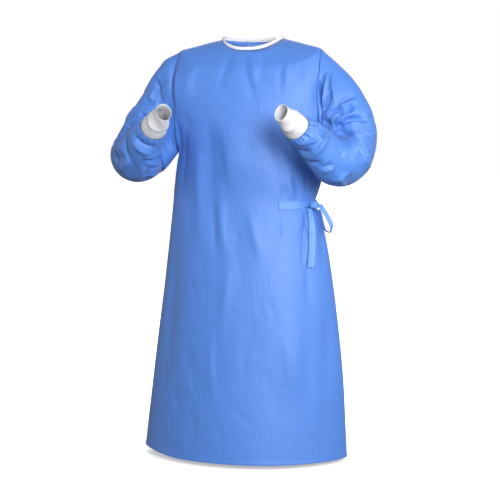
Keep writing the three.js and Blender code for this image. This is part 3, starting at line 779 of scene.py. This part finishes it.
# %% Creases of the wearer's right sleeve: run and degrees of a start, a middle and an end
RIGHT_CREASES = (
    # beside the armhole
    (0.005, 18, 0.012, 52, 0.03, 80, 6, 6, -11),
    (0.1, 14, 0.115, 58, 0.1, 105, 60, 34, -24),
    (0.06, 78, 0.07, 115, 0.08, 165, 34, 24, -24),
    (0.1, 14, 0.1, 46, 0.085, 80, 7, 7, 6),
    (0.123, 20, 0.108, 52, 0.085, 80, 5, 11, -11),
    (0.14, 26, 0.168, 38, 0.205, 36, 8, 9, 6),
    # inside the elbow
    (0.223, 18, 0.193, 47, 0.15, 62, 6, 6, -8),
    (0.295, 32, 0.283, 47, 0.27, 62, 6, 6, -14),
    (0.33, 60, 0.365, 30, 0.383, 4, 7, 8, -17),
    (0.43, 48, 0.435, 25, 0.49, 14, 6, 6, -11),
    (0.4, 46, 0.402, 26, 0.415, 8, 6, 6, 8),
    (0.5, 44, 0.545, 22, 0.56, -16, 6, 7, 9.5),
    (0.31, 100, 0.34, 80, 0.35, 58, 8, 8, -14),
    (0.45, 95, 0.46, 75, 0.45, 55, 8, 8, -14),
    (0.56, 90, 0.59, 66, 0.62, 40, 8, 8, -11),
    # the bag below the forearm
    (0.652, 0, 0.639, -28, 0.63, -54, 7, 7, -9.5),
    (0.8, -8, 0.756, -40, 0.722, -74, 8, 9, -8),
    (0.875, -24, 0.87, -87, 0.882, -145, 6, 7, -8),
    (0.832, -26, 0.812, -93, 0.81, -155, 9, 9, 7),
    (0.78, -100, 0.785, -135, 0.8, -170, 7, 7, 7),
    (0.766, -104, 0.76, -141, 0.752, -170, 5, 5, -6),
    (0.754, -112, 0.715, -150, 0.708, -190, 7, 7, 6),
    (0.674, -132, 0.668, -166, 0.66, -200, 7, 7, -8),
    (0.638, -118, 0.628, -146, 0.605, -180, 8, 8, 5.5),
    (0.685, -102, 0.722, -77, 0.76, -50, 9, 9, -4.5),
    # corners of the elbow's outline
    (0.55, -8, 0.65, -20, 0.76, -38, 12, 12, 6),
    (0.6, -66, 0.66, -70, 0.74, -80, 9, 9, 8),
    (0.6, -114, 0.66, -120, 0.73, -118, 9, 9, 8),
    (0.52, -164, 0.6, -160, 0.68, -158, 9, 9, 3),
    (0.6, -42, 0.66, -46, 0.72, -56, 14, 14, -6),
    (0.6, -92, 0.66, -94, 0.72, -98, 14, 14, -6),
    (0.57, -140, 0.62, -140, 0.68, -140, 14, 14, -6),
    (0.42, 10, 0.47, -2, 0.5, -14, 12, 12, -8),
    (0.25, 12, 0.3, 0, 0.34, -20, 9, 9, 6),
    # behind and below, out of the photograph's sight
    (0.1, -20, 0.13, -70, 0.2, -110, 12, 12, -9.5),
    (0.2, -30, 0.26, -80, 0.3, -140, 14, 12, 8),
    (0.3, -60, 0.34, -110, 0.38, -160, 12, 12, -9.5),
    (0.06, -60, 0.07, -100, 0.05, -150, 9, 9, -9.5),
    (0.46, -50, 0.48, -95, 0.52, -150, 12, 12, -9.5),
    (0.24, 120, 0.3, 155, 0.36, 195, 12, 12, -9.5),
)

# %% Creases of the wearer's left sleeve
LEFT_CREASES = (
    # beside the armhole
    (0.035, 44, 0.035, 90, 0.045, 150, 11, 10, -16),
    (0.06, 36, 0.065, 64, 0.063, 90, 5, 5, 11),
    (0.045, 48, 0.043, 68, 0.045, 84, 5, 5, -10.5),
    (0.075, 30, 0.113, 50, 0.18, 62, 6, 6, 10.5),
    (0.112, 50, 0.1, 72, 0.066, 94, 5, 6, -16),
    (0.232, 12, 0.211, 39, 0.182, 60, 5, 5, -10.5),
    (0.25, 12, 0.231, 42, 0.2, 62, 5, 5, 8),
    # the round of the shoulder
    (0.04, -6, 0.2, -16, 0.4, -24, 44, 44, 9),
    # inside the elbow
    (0.25, 28, 0.27, 40, 0.256, 54, 5, 5, -14.5),
    (0.13, 92, 0.193, 67, 0.256, 48, 5, 5, -14.5),
    (0.15, 90, 0.203, 73, 0.236, 58, 7, 7, 8),
    (0.288, 36, 0.268, 60, 0.226, 80, 6, 6, 12.5),
    (0.07, 100, 0.123, 95, 0.218, 84, 9, 9, -15.5),
    (0.346, 56, 0.35, 28, 0.348, -4, 7, 7, -12.5),
    (0.25, 76, 0.37, 34, 0.348, -20, 6, 6, 10.5),
    (0.246, 88, 0.301, 71, 0.361, 50, 7, 7, -15.5),
    (0.273, 87, 0.42, 52, 0.469, 26, 6, 6, -15.5),
    (0.391, 54, 0.444, 18, 0.404, -26, 6, 6, 12.5),
    (0.4, 36, 0.415, 12, 0.404, -14, 5, 5, -12.5),
    (0.466, 25, 0.494, -13, 0.486, -50, 8, 8, -14),
    (0.444, 38, 0.511, -9, 0.494, -54, 5, 6, 10.5),
    (0.466, 56, 0.549, 6, 0.539, -32, 6, 6, 13),
    (0.474, 50, 0.536, 8, 0.526, -24, 5, 5, -8),
    # fans below the elbow
    (0.7, 36, 0.69, -6, 0.655, -32, 5, 6, -14.5),
    (0.59, 46, 0.649, -4, 0.632, -34, 5, 5, 10.5),
    (0.56, 42, 0.602, -8, 0.587, -44, 7, 7, -16),
    (0.652, 8, 0.617, -36, 0.572, -76, 8, 8, 14.5),
    # forearm
    (0.784, 16, 0.784, -54, 0.774, -135, 8, 9, 16),
    (0.85, 26, 0.815, -6, 0.803, -38, 6, 7, -12.5),
    (0.89, 2, 0.842, -28, 0.79, -40, 5, 5, 7),
    (0.85, -160, 0.82, -126, 0.802, -72, 8, 7, -16),
    (0.9, -120, 0.842, -70, 0.808, -30, 7, 7, 10.5),
    (0.776, -160, 0.759, -117, 0.732, -72, 7, 7, -12.5),
    (0.694, -106, 0.682, -82, 0.657, -66, 6, 6, 7),
    (0.722, -104, 0.702, -80, 0.675, -56, 6, 6, -6),
    (0.644, -110, 0.622, -81, 0.594, -50, 8, 8, 8),
    # corners of the elbow's outline
    (0.33, -40, 0.37, -24, 0.42, 6, 8, 8, 4.5),
    (0.46, -66, 0.5, -46, 0.54, -20, 8, 8, 10.5),
    (0.56, -110, 0.6, -92, 0.66, -70, 8, 8, 8),
    (0.29, -30, 0.31, -16, 0.31, 2, 10, 10, -8),
    # behind and below, out of the photograph's sight
    (0.09, -24, 0.13, -74, 0.19, -116, 12, 12, -12.5),
    (0.2, -36, 0.24, -80, 0.3, -134, 13, 12, 10.5),
    (0.3, -66, 0.33, -110, 0.38, -164, 12, 12, -12.5),
    (0.06, -64, 0.07, -104, 0.05, -150, 9, 9, -12.5),
    (0.45, -76, 0.48, -110, 0.52, -160, 12, 12, -12.5),
    (0.22, 124, 0.3, 158, 0.36, 198, 12, 12, -12.5),
)

# %% Put the creases and the wrist's gathers on, and roll the tubes
SLEEVE_COLUMNS, SLEEVE_ROWS = 132, 170
GATHER = 2.2
GATHER_COUNTS = (13, 19, 31)
SLEEVE_CUT = (0.62, 0.66)


def outward_of(points, columns, rows):
    """Normals of a grid of points that is rolled into a tube."""
    grid = points.reshape(rows + 1, columns + 1, 3)
    ahead = np.gradient(grid, axis=0)
    ring = grid[:, :-1]
    sideways = np.roll(ring, -1, 1) - np.roll(ring, 1, 1)
    sideways = np.concatenate([sideways, sideways[:, :1]], 1)
    normal = unit(np.cross(ahead, sideways) + 1e-12)
    middle = grid.mean(1, keepdims=True)
    away = np.sign(((grid - middle) * normal).sum(-1).mean())
    return (normal * away).reshape(-1, 3)


def turn_from_top(turn):
    """Degrees from the top fold of the sleeve, either way round."""
    return np.degrees(np.abs((turn + np.pi) % (2 * np.pi) - np.pi))


def sleeve_place(side, creases):
    def place(u, v):
        run, turn = v, 2 * np.pi * u
        order = np.lexsort((u, v))
        back = np.argsort(order)
        points = plain_sleeve(side, run[order], turn[order])
        normals = outward_of(points, SLEEVE_COLUMNS, SLEEVE_ROWS)
        rise = np.zeros(len(points))
        for r1, t1, r2, t2, r3, t3, near, far, height in creases:
            keys = np.array([(r1, t1), (r2, t2), (r3, t3)])
            path = path_through(*plain_sleeve(side, keys[:, 0], np.radians(keys[:, 1])))
            rise += soft_line(points, normals, path, near, far, height, SLEEVE_CREST, SLEEVE_FADE)
        run, turn = run[order], turn[order]
        rise *= smooth(run / 0.012) * smooth((1 - run) / 0.05)
        first, second, third = (np.sin(n * turn + n) for n in GATHER_COUNTS)
        pleats = 0.5 * first + 0.6 * second + 0.35 * third
        rise += GATHER * pleats * smooth((run - 0.82) / 0.1) * smooth((1 - run) / 0.06)
        rise -= 1.2 * (1 - smooth(run / 0.008)) * smooth((turn_from_top(turn) - 20) / 30)
        return (points + normals * rise[:, None])[back]

    return place


def sleeve(side, creases):
    name = f"sleeve_{side}"
    bm = bent_grid(SLEEVE_COLUMNS, SLEEVE_ROWS, sleeve_place(side, creases), SLEEVE_CUT, tube=True)
    bm.normal_update()
    face_away(bm, np.array(plain_sleeve(side, np.array([0.5]), np.array([np.pi / 2])))[0] + (0, 20, 0))
    return finished(name, bm, name, GOWN_CLOTH)


sleeve_right = sleeve("right", RIGHT_CREASES)
sleeve_left = sleeve("left", LEFT_CREASES)

# %% [markdown]
# ## Knit cuffs
#
# A cuff is a tube of rib knit folded double, so it has a rolled rim at the mouth, and it is sewn
# to the gathered sleeve at its wide end. It has slipped down a little, which leaves a soft ring
# half way. The profile is spun round the cuff's axis, then pushed about where it has slumped.

# %% Cuffs: spin a profile of outside, rim and inside
CUFF_PROFILE = (
    (0, 36.5), (0.08, 37), (0.2, 36), (0.34, 34.2), (0.42, 33.6), (0.47, 34), (0.52, 33.5), (0.57, 32.4),
    (0.62, 31.2), (0.72, 29.6), (0.84, 27.9), (0.93, 27.2), (0.985, 27.3), (1.0, 26.3), (0.985, 25.2),
    (0.93, 24.8), (0.8, 25.4), (0.62, 27.6), (0.4, 30.6), (0.2, 33), (0, 34.2),
)
MOUTH_NARROWER, MOUTH_TALLER = 0.22, 0.07
MOUTH_LEAN = {"right": 6 * MM, "left": -1 * MM}
PHOTO_RIGHT = (0.97, 0.24, 0)
CUFF_STEPS = 96
SEAM_GAP = 0.3 * MM
CUFF_CUT = (0.21, 0.16)


def cuff(side):
    """One cuff, from its spun profile to the finished piece."""
    name = f"cuff_{side}"
    base, mouth = (Vector(SLEEVES[side][key]) * MM for key in ("base", "mouth"))
    axis = mouth - base
    length = axis.length
    bm = bmesh.new()
    points = [
        bm.verts.new((radius * MM, 0, (SEAM_GAP + along * (length - SEAM_GAP))))
        for along, radius in CUFF_PROFILE
    ]
    edges = [bm.edges.new(pair) for pair in zip(points, points[1:])]
    bmesh.ops.subdivide_edges(bm, edges=edges, cuts=1, smooth=0.5)
    bmesh.ops.spin(bm, geom=bm.verts[:] + bm.edges[:], cent=(0, 0, 0), axis=(0, 0, 1), angle=radians(360),
                   steps=CUFF_STEPS, use_merge=True)
    bmesh.ops.remove_doubles(bm, verts=bm.verts, dist=0.01 * MM)
    bmesh.ops.recalc_face_normals(bm, faces=bm.faces)
    layer = bm.loops.layers.uv.new("cloth")
    for face in bm.faces:
        middle = np.arctan2(*face.calc_center_median().xy)
        for loop in face.loops:
            turn = np.arctan2(*loop.vert.co.xy)
            turn += 2 * np.pi * round((middle - turn) / (2 * np.pi))
            loop[layer].uv = (turn / (2 * np.pi) * CUFF_CUT[0], loop.vert.co.z)
    slump(bm, length, SLEEVES[side]["sign"])
    turned = axis.to_track_quat("Z", "Y").to_matrix().to_4x4()
    bmesh.ops.transform(bm, matrix=Matrix.Translation(base) @ turned, verts=bm.verts)
    squeeze(bm, base, axis, MOUTH_LEAN[side])
    return finished(name, bm, name, CUFF_KNIT, thickness=0)


def squeeze(bm, base, axis, lean):
    """The mouth hangs as an upright oval, narrower from side to side than it is tall."""
    way = axis.normalized()
    sideways = Vector(PHOTO_RIGHT) - way * way.dot(Vector(PHOTO_RIGHT))
    sideways.normalize()
    upwards = way.cross(sideways)
    for vert in bm.verts:
        along = (vert.co - base).dot(way) / axis.length
        off = vert.co - base - way * (along * axis.length)
        amount = float(smooth((along - 0.15) / 0.85))
        vert.co += sideways * (lean - off.dot(sideways) * MOUTH_NARROWER) * amount
        vert.co += upwards * off.dot(upwards) * MOUTH_TALLER * amount


def slump(bm, length, sign):
    """Soft uneven folds: the ring tilts, and a few slanting dents cross the knit."""
    for vert in bm.verts:
        turn = np.arctan2(vert.co.y, vert.co.x)
        along = vert.co.z / length
        inner = 1 - smooth((along - 0.02) / 0.1) * smooth((1.02 - along) / 0.1)
        tilt = 0.05 * np.sin(turn + 1.2 * sign)
        dent = np.exp(-(((along - 0.66 - tilt - 0.06 * np.sin(2 * turn)) / 0.06) ** 2))
        ring = np.exp(-(((along - 0.46 - 1.6 * tilt) / 0.05) ** 2))
        slant = np.sin(3 * turn + 9 * along + sign) * np.exp(-(((along - 0.55) / 0.3) ** 2))
        push = (-1.0 * dent + 1.3 * ring + 1.5 * slant) * (1 - inner)
        radius = vert.co.xy.length
        vert.co.xy *= 1 + push * MM / radius
        vert.co.x *= 1 + 0.03 * along


cuff_right = cuff("right")
cuff_left = cuff("left")

# %% [markdown]
# ## The neck binding
#
# One white tape is folded over the raw neck edge and sewn through. It starts at the free edge of
# the outer back panel, runs all the way round, and goes on along the inner panel under the lap.
# It is a grid again, rolled round a flat oval as it follows the edge.

# %% Neck binding
BINDING_LOW, BINDING_HIGH, BINDING_THICKNESS, BINDING_LEAN = 1, 11, 2.4, radians(20)
TAPE_END = 0.012
BINDING_COLUMNS, BINDING_AROUND = 420, 22
TAPE_CUT = (0.62, 0.028)


def neck_stops(t):
    """Place on the neck edge: faces and places across, for t from 0 to 1 along the tape."""
    start, end = float(outer_edge(NECK_Z)), float(inner_edge(NECK_Z))
    first, second = start + 1, 2.0
    whole_run = first + second + 1 - end
    run = t * whole_run
    on_outer, on_front = run < first, (run >= first) & (run < first + second)
    across = np.where(on_outer, start - run, np.where(on_front, run - first - 1, 1 - (run - first - second)))
    return on_front, ~on_outer & ~on_front, across


def neck_edge(t):
    """The neck edge and the level way out from it."""
    on_front, on_inner, across = neck_stops(t)
    level = np.full(len(t), float(NECK_Z))
    points, normals = (
        np.where(on_front[:, None], on_body("front", across, level), on_body("back", across, level))
        for on_body in (plain_body, body_normal)
    )
    points = points - normals * np.where(on_inner, lap_depth(across, level), 0)[:, None]
    return points, unit(normals * (1, 1, 0))


def binding_place(u, v):
    """Where the tape's grid goes: u runs along the neck edge and v round the fold."""
    points, out = neck_edge(u)
    sine, cosine = np.sin(BINDING_LEAN), np.cos(BINDING_LEAN)
    rise = np.stack([-sine * out[:, 0], -sine * out[:, 1], np.full(len(u), cosine)], -1)
    face = np.stack([cosine * out[:, 0], cosine * out[:, 1], np.full(len(u), sine)], -1)
    turn = 2 * np.pi * mix(0.04, 0.96, v) - np.pi / 2
    tall = np.sign(np.sin(turn)) * np.abs(np.sin(turn)) ** 0.55
    thick = np.sign(np.cos(turn)) * np.abs(np.cos(turn)) ** 0.7
    pucker = 0.25 * np.sin(u * 310) * (1 - tall)
    height = mix(BINDING_LOW, BINDING_HIGH, (tall + 1) / 2)
    depth = (BINDING_THICKNESS / 2 - 0.45 * np.exp(-(((height - 3) / 1.2) ** 2))) * thick
    depth *= 0.25 + 0.75 * smooth(np.minimum(u, 1 - u) / TAPE_END)
    return points + rise * height[:, None] + face * (depth + 0.1 + pucker * 0.3)[:, None]


def neck_binding_piece():
    """The tape with its outside facing away from the cloth it holds."""
    bm = bent_grid(BINDING_COLUMNS, BINDING_AROUND, binding_place, TAPE_CUT)
    bm.normal_update()
    crown = max(bm.faces, key=lambda f: f.calc_center_median().z)
    if crown.normal.z < 0:
        bmesh.ops.reverse_faces(bm, faces=bm.faces)
    return finished("neck_binding", bm, "neck_binding", NECK_TAPE, thickness=0.4 * MM)


neck_binding = neck_binding_piece()

# %% [markdown]
# ## Ties and the half bow
#
# Two flat ties, one sewn on the front and one on the edge of the outer back panel, meet at the
# wearer's left side in a half bow: a knot, one loop and one tail. A tie is a narrow sheet too.
# It lies on the body where it starts and is pinched into pleats where the knot grips it.

# %% Sizes of the ties
TIE_WIDTH, TIE_PINCHED, TIE_Z = 26, 13, -497
TIE_SEWN_AT, TIE_KNOT_AT, TIE_BACK_SEWN_AT, TIE_BACK_KNOT_AT = 0.36, 0.76, 0.67, 0.9
KNOT, KNOT_RADII = np.array((203, -88, TIE_Z), float), np.array((13, 11, 12), float)
TAIL_AT, TAIL_LIFT, TAIL_WIDTH, TAIL_END_Z = (0.725, 0.6), (9, 6), 20, -677
TAIL_WIDTH_WAY = np.array((0.86, 0.51, 0))
LOOP_WIDTH = 14
LOOP_TWIST = ((0, 0.3, 0.42, 0.55, 0.7, 1), (30, 22, 60, 78, 62, 50))
LOOP_POINTS = (
    (218, -80, -497), (226, -76, -510), (240, -73, -534), (251, -72, -560), (246, -72, -577),
    (233, -72, -572), (224, -74, -548), (218, -78, -520), (213, -84, -510),
)
PLEAT = 1.8
# The cloth's pattern is laid out on the two flat ties at this size.
TIE_PATTERN = (0.15, 0.026)


def tie_piece(name, place, columns, rows, flat, inside=None, tube=False):
    """A piece of the ties. It faces away from the point inside, where one is given."""
    bm = bent_grid(columns, rows, place, flat, tube)
    bm.normal_update()
    if inside is not None:
        face_away(bm, inside)
    return finished(name, bm, name, TIE_CLOTH_PAINTED_LIGHTER)


# %% The tie on the front
def tie_front_place(u, v):
    across = mix(TIE_SEWN_AT, TIE_KNOT_AT, u)
    width = mix(TIE_WIDTH, TIE_PINCHED, smooth((u - 0.3) / 0.7))
    share = v - 0.5
    pinch = smooth((u - 0.45) / 0.55)
    pleats = PLEAT * pinch * np.sin(3.2 * np.pi * share + 0.6)
    lift = mix(2.6, 7, u**2) + pleats - 0.9 * pinch * np.abs(share) * 2
    lift += 1.3 * np.exp(-(((share + 0.12 - 0.2 * u) / 0.1) ** 2)) * smooth((u - 0.25) / 0.4)
    lift -= 1.6 * (1 - smooth(u / 0.03))
    return body_point("front", across, TIE_Z + share * width, -lift)


tie_front = tie_piece("tie_front", tie_front_place, 80, 20, TIE_PATTERN, (0, 0, TIE_Z))

# %% The tie on the back panel, round the side to the knot
def tie_back_place(u, v):
    on_back = u < 0.5
    across = np.where(on_back, mix(TIE_BACK_SEWN_AT, 1, u / 0.5), mix(1, TIE_BACK_KNOT_AT, (u - 0.5) / 0.5))
    width = mix(TIE_WIDTH, TIE_PINCHED, smooth((u - 0.5) / 0.5))
    share = v - 0.5
    pinch = smooth((u - 0.5) / 0.5)
    lift = mix(2.6, 7, u) + PLEAT * pinch * np.sin(3.2 * np.pi * share) - 1.6 * (1 - smooth(u / 0.03))
    level = TIE_Z + share * width
    behind, ahead = (body_point(face, across, level, -lift) for face in ("back", "front"))
    return np.where(on_back[:, None], behind, ahead)


tie_back = tie_piece("tie_back", tie_back_place, 80, 20, TIE_PATTERN, (0, -40, TIE_Z))

# %% The tail
def tail_place(u, v):
    t = 1 - v
    level = mix(KNOT[2] - KNOT_RADII[2] - 1, TAIL_END_Z, t)
    middle = body_point("front", mix(*TAIL_AT, t), level, -mix(*TAIL_LIFT, t))
    width = mix(TIE_PINCHED, TAIL_WIDTH, smooth(t / 0.4))
    share = u - 0.5
    pinch = 1 - smooth(t / 0.35)
    curl = 1.2 * (share * 2) ** 2 * smooth(t / 0.5) + PLEAT * pinch * np.sin(3 * np.pi * share)
    return middle + TAIL_WIDTH_WAY * (share * width)[:, None] + np.stack([0 * curl, -curl, 0 * curl], -1)


tie_tail = tie_piece("tie_tail", tail_place, 16, 90, (0.02, 0.18), (100, 100, -590))

# %% The loop
def along_points(points, t):
    """Places on a smooth curve through a list of points."""
    points = np.array(points, float)
    places = np.arange(len(points))
    return np.stack([curve_through(places, points[:, axis])(t * places[-1]) for axis in range(3)], -1)


def loop_place(u, v):
    middle = along_points(LOOP_POINTS, u)
    later, earlier = np.minimum(u + 0.01, 1), np.maximum(u - 0.01, 0)
    ahead = unit(along_points(LOOP_POINTS, later) - along_points(LOOP_POINTS, earlier))
    towards = unit(np.array((0.24, -0.97, 0)))
    flat_way = unit(np.cross(ahead, towards))
    edge_way = np.cross(flat_way, ahead)
    twist = np.radians(np.interp(u, *LOOP_TWIST))[:, None]
    width_way = flat_way * np.cos(twist) + edge_way * np.sin(twist)
    outward = np.cross(width_way, ahead)
    share = v - 0.5
    pinch = 1 - smooth(np.minimum(u, 1 - u) / 0.2)
    width = mix(LOOP_WIDTH, TIE_PINCHED, pinch)
    curl = 1.4 * np.sin(2.6 * np.pi * share) * pinch - 0.8 * (share * 2) ** 2
    return middle + width_way * (share * width)[:, None] + outward * curl[:, None]


tie_loop = tie_piece("tie_loop", loop_place, 110, 14, (0.19, 0.016))

# %% The knot, a band of the tie wound once round the others
def knot_place(u, v):
    turn = 2 * np.pi * u
    share = 2 * v - 1
    bulge = np.sqrt(np.clip(1 - (share * 0.94) ** 2, 0, 1))
    pleats = 1 + 0.07 * np.sin(5 * turn + 3 * share) + 0.05 * np.sin(9 * turn - 2 * share)
    slant = 1.5 * np.sin(turn)
    x = KNOT[0] + KNOT_RADII[0] * share + slant
    y = KNOT[1] + KNOT_RADII[1] * bulge * pleats * np.sin(turn)
    z = KNOT[2] + KNOT_RADII[2] * bulge * pleats * np.cos(turn)
    return np.stack([x, y, z], -1)


tie_knot = tie_piece("tie_knot", knot_place, 64, 24, (0.07, 0.026), KNOT, tube=True)

# %% [markdown]
# ## Stitches
#
# A row of stitches is many small beads of thread, each a sphere with few faces, drawn out along
# the seam and laid half into the cloth. The hem, the binding, the sewn ends of the ties and the
# seams of the cuffs are stitched. At the back of the neck a plain sewn square marks where the
# outer panel is fastened, which the photograph doesn't show.

# %% Lay stitches along a path
STITCH_LONG, STITCH_HALF_WIDTH, STITCH_HALF_HEIGHT = 0.36, 0.45, 0.35


def stitch_path(bm, points, outward, spacing, slant=0):
    """Beads along points, in millimetres, that face outward. spacing is from bead to bead."""
    steps = np.linalg.norm(np.diff(points, axis=0), axis=1)
    run = np.concatenate([[0], np.cumsum(steps)])
    stops = np.arange(spacing / 2, run[-1], spacing)
    place = np.stack([np.interp(stops, run, points[:, k]) for k in range(3)], -1)
    ahead = np.stack([np.interp(stops, run, np.gradient(points[:, k])) for k in range(3)], -1)
    face = np.stack([np.interp(stops, run, outward[:, k]) for k in range(3)], -1)
    for middle, way, out in zip(place, unit(ahead), unit(face)):
        across = unit(np.cross(out, way))
        along = unit(way * np.cos(slant) + across * np.sin(slant))
        frame_of = np.stack([along, np.cross(out, along), out], 1)
        size = np.diag([spacing * STITCH_LONG, STITCH_HALF_WIDTH, STITCH_HALF_HEIGHT])
        matrix = Matrix((frame_of @ size * MM).tolist()).to_4x4()
        matrix.translation = Vector(middle * MM)
        bmesh.ops.create_uvsphere(bm, u_segments=5, v_segments=4, radius=1, matrix=matrix)


def stitched(name, rows, spacing, material=THREAD, slant=0):
    bm = bmesh.new()
    for points, outward in rows:
        stitch_path(bm, points, outward, spacing, slant)
    return finished(name, bm, None, material, thickness=0)


# %% Rows on the body
STITCH = 4


def body_row(face, across, level, lift=0.5, sink=None):
    depth = sink(across, level) if sink else 0
    return body_point(face, across, level, depth - lift), body_normal(face, across, level)


def hem_row(face, first, last, sink=None):
    across = np.linspace(first, last, 240)
    points, outward = body_row(face, across, np.full(240, HEM_Z + HEM_FOLD - 1.5), 0.9, sink)
    points[:, 2] += RIGHT_HEM_LIFT * lifted_side(points[:, 0]) * smooth(1 - HEM_FOLD / HEM_LIFT_REACH)
    return points, outward


def square_rows(face, left, right, low, high, lift):
    """Four sides of a sewn square."""
    n = 24
    corners = ((left, low), (right, low), (right, high), (left, high), (left, low))
    rows = []
    for (a0, z0), (a1, z1) in zip(corners, corners[1:]):
        across, level = np.linspace(a0, a1, n), np.linspace(z0, z1, n)
        rows.append(body_row(face, across, level, lift))
    return rows


HEM_ENDS = 0.985
hem_rows = [
    hem_row("front", -HEM_ENDS, HEM_ENDS),
    hem_row("back", float(outer_edge(HEM_Z)) - 0.01, -HEM_ENDS),
    hem_row("back", HEM_ENDS, float(outer_edge(HEM_Z)) + 0.01, lap_depth),
]
stitched("stitches_hem", hem_rows, STITCH)
TIE_SQUARE_HALF, TIE_SQUARE_LIFT = 10.5, 4.2
TIE_SQUARE = (TIE_Z - TIE_SQUARE_HALF, TIE_Z + TIE_SQUARE_HALF, TIE_SQUARE_LIFT)
front_end = square_rows("front", TIE_SEWN_AT + 0.008, TIE_SEWN_AT + 0.05, *TIE_SQUARE)
back_end = square_rows("back", TIE_BACK_SEWN_AT + 0.01, TIE_BACK_SEWN_AT + 0.055, *TIE_SQUARE)
stitched("stitches_tie_ends", front_end + back_end, 2.4)
stitched("stitches_neck_fastening", square_rows("back", 0.3, 0.415, -52, -18, 0.5), STITCH)

# %% Rows on the binding and the cuffs
u = np.linspace(0.002, 0.998, 400)
binding_row = binding_place(u, np.full(400, 0.9))
stitched("stitches_binding", [(binding_row, neck_edge(u)[1])], 3, NECK_TAPE)
for side in SLEEVES:
    turn = np.linspace(0, 2 * np.pi, 121)
    ring = plain_sleeve(side, np.full(121, 0.996), turn)
    outward = unit(ring - ring[:-1].mean(0))
    stitched(f"stitches_cuff_{side}", [(ring + outward * 0.6, outward)], 2.6, slant=radians(50))

# %% [markdown]
# ## A plain pale floor and soft light
#
# The gown is lit as goods are photographed for a catalogue: a soft lamp in front and to the
# right, above the shoulders, weaker ones to both sides, a wide one behind, and pale light from all
# round. A white dome and floor stand behind it and under it. Only the camera sees them, because
# they aren't part of the gown. The floor glows less close to the gown, which is the soft shade
# under its hem.

# %% Floor, dome and lamps
FLOOR_Z = (HEM_Z - 14) * MM
SHADE_NEAR, SHADE_FAR = 0.28, 0.62
FLOOR_HALF, DOME_RADIUS = 30, 28


def stage_material(name, diffuse, glow):
    material, tree, surface = new_material(name)
    surface.inputs["Base Color"].default_value = (diffuse, diffuse, diffuse, 1)
    surface.inputs["Roughness"].default_value = 1
    surface.inputs["Specular IOR Level"].default_value = 0
    surface.inputs["Emission Color"].default_value = (1, 1, 1, 1)
    surface.inputs["Emission Strength"].default_value = glow
    return material


def stage_piece(name, bm, material):
    mesh = bpy.data.meshes.new(name)
    bm.to_mesh(mesh)
    bm.free()
    mesh.materials.append(material)
    mesh.shade_smooth()
    piece = bpy.data.objects.new(name, mesh)
    bpy.context.collection.objects.link(piece)
    for way in ("diffuse", "glossy", "transmission", "shadow"):
        setattr(piece, f"visible_{way}", False)


floor_mesh = bmesh.new()
bmesh.ops.create_grid(floor_mesh, x_segments=1, y_segments=1, size=FLOOR_HALF,
                      matrix=Matrix.Translation((0, 0, FLOOR_Z)))
floor_white = stage_material("matt_white_floor", 0.8, 1)
floor_nodes = floor_white.node_tree
reach = add(floor_nodes, "ShaderNodeVectorMath", {"operation": "LENGTH"},
            i0=add(floor_nodes, "ShaderNodeTexCoord").outputs["Object"]).outputs["Value"]
edge = (FLOOR_Z**2 + SHADE_NEAR**2) ** 0.5, (FLOOR_Z**2 + SHADE_FAR**2) ** 0.5
glow = add(floor_nodes, "ShaderNodeMapRange", {"interpolation_type": "SMOOTHSTEP"}, Value=reach,
           From_Min=edge[0], From_Max=edge[1], To_Min=0.45, To_Max=1.0)
floor_nodes.links.new(glow.outputs[0], floor_nodes.nodes["Principled BSDF"].inputs["Emission Strength"])
stage_piece("floor", floor_mesh, floor_white)
dome_mesh = bmesh.new()
bmesh.ops.create_uvsphere(dome_mesh, u_segments=48, v_segments=24, radius=DOME_RADIUS)
bmesh.ops.reverse_faces(dome_mesh, faces=dome_mesh.faces)
stage_piece("dome", dome_mesh, stage_material("matt_white_dome", 0, 1.0))


def lamp(name, place, target, size, power):
    light = bpy.data.objects.new(name, bpy.data.lights.new(name, "AREA"))
    light.data.size = size
    light.data.energy = power
    light.location = place
    light.rotation_euler = (Vector(target) - Vector(place)).to_track_quat("-Z", "Y").to_euler()
    bpy.context.collection.objects.link(light)


lamp("key_lamp", (1.3, -2.7, 0.25), (0, -0.1, -0.3), 0.9, 92)
lamp("fill_lamp", (-2.6, -3.0, 0.6), (0, -0.1, -0.6), 2.2, 10)
lamp("right_lamp", (3.0, -1.0, 0.4), (0, -0.1, -0.5), 1.4, 34)
lamp("back_lamp", (-0.8, 3.0, 0.6), (0, 0, -0.5), 1.8, 90)
lamp("left_lamp", (-3.0, -0.6, 0.2), (0, -0.1, -0.7), 1.4, 5)
world = bpy.data.worlds.new("pale_studio")
world.use_nodes = True
direction = add(world.node_tree, "ShaderNodeTexCoord").outputs["Generated"]
height = add(world.node_tree, "ShaderNodeSeparateXYZ", Vector=direction).outputs["Z"]
glow = add(world.node_tree, "ShaderNodeMapRange", Value=height, From_Min=-0.8, From_Max=0.6,
           To_Min=0.2, To_Max=0.36)
world.node_tree.links.new(glow.outputs[0], world.node_tree.nodes["Background"].inputs["Strength"])
world.node_tree.nodes["Background"].inputs["Color"].default_value = (1, 1, 1, 1)
bpy.context.scene.world = world
bpy.context.scene.view_settings.view_transform = "Standard"
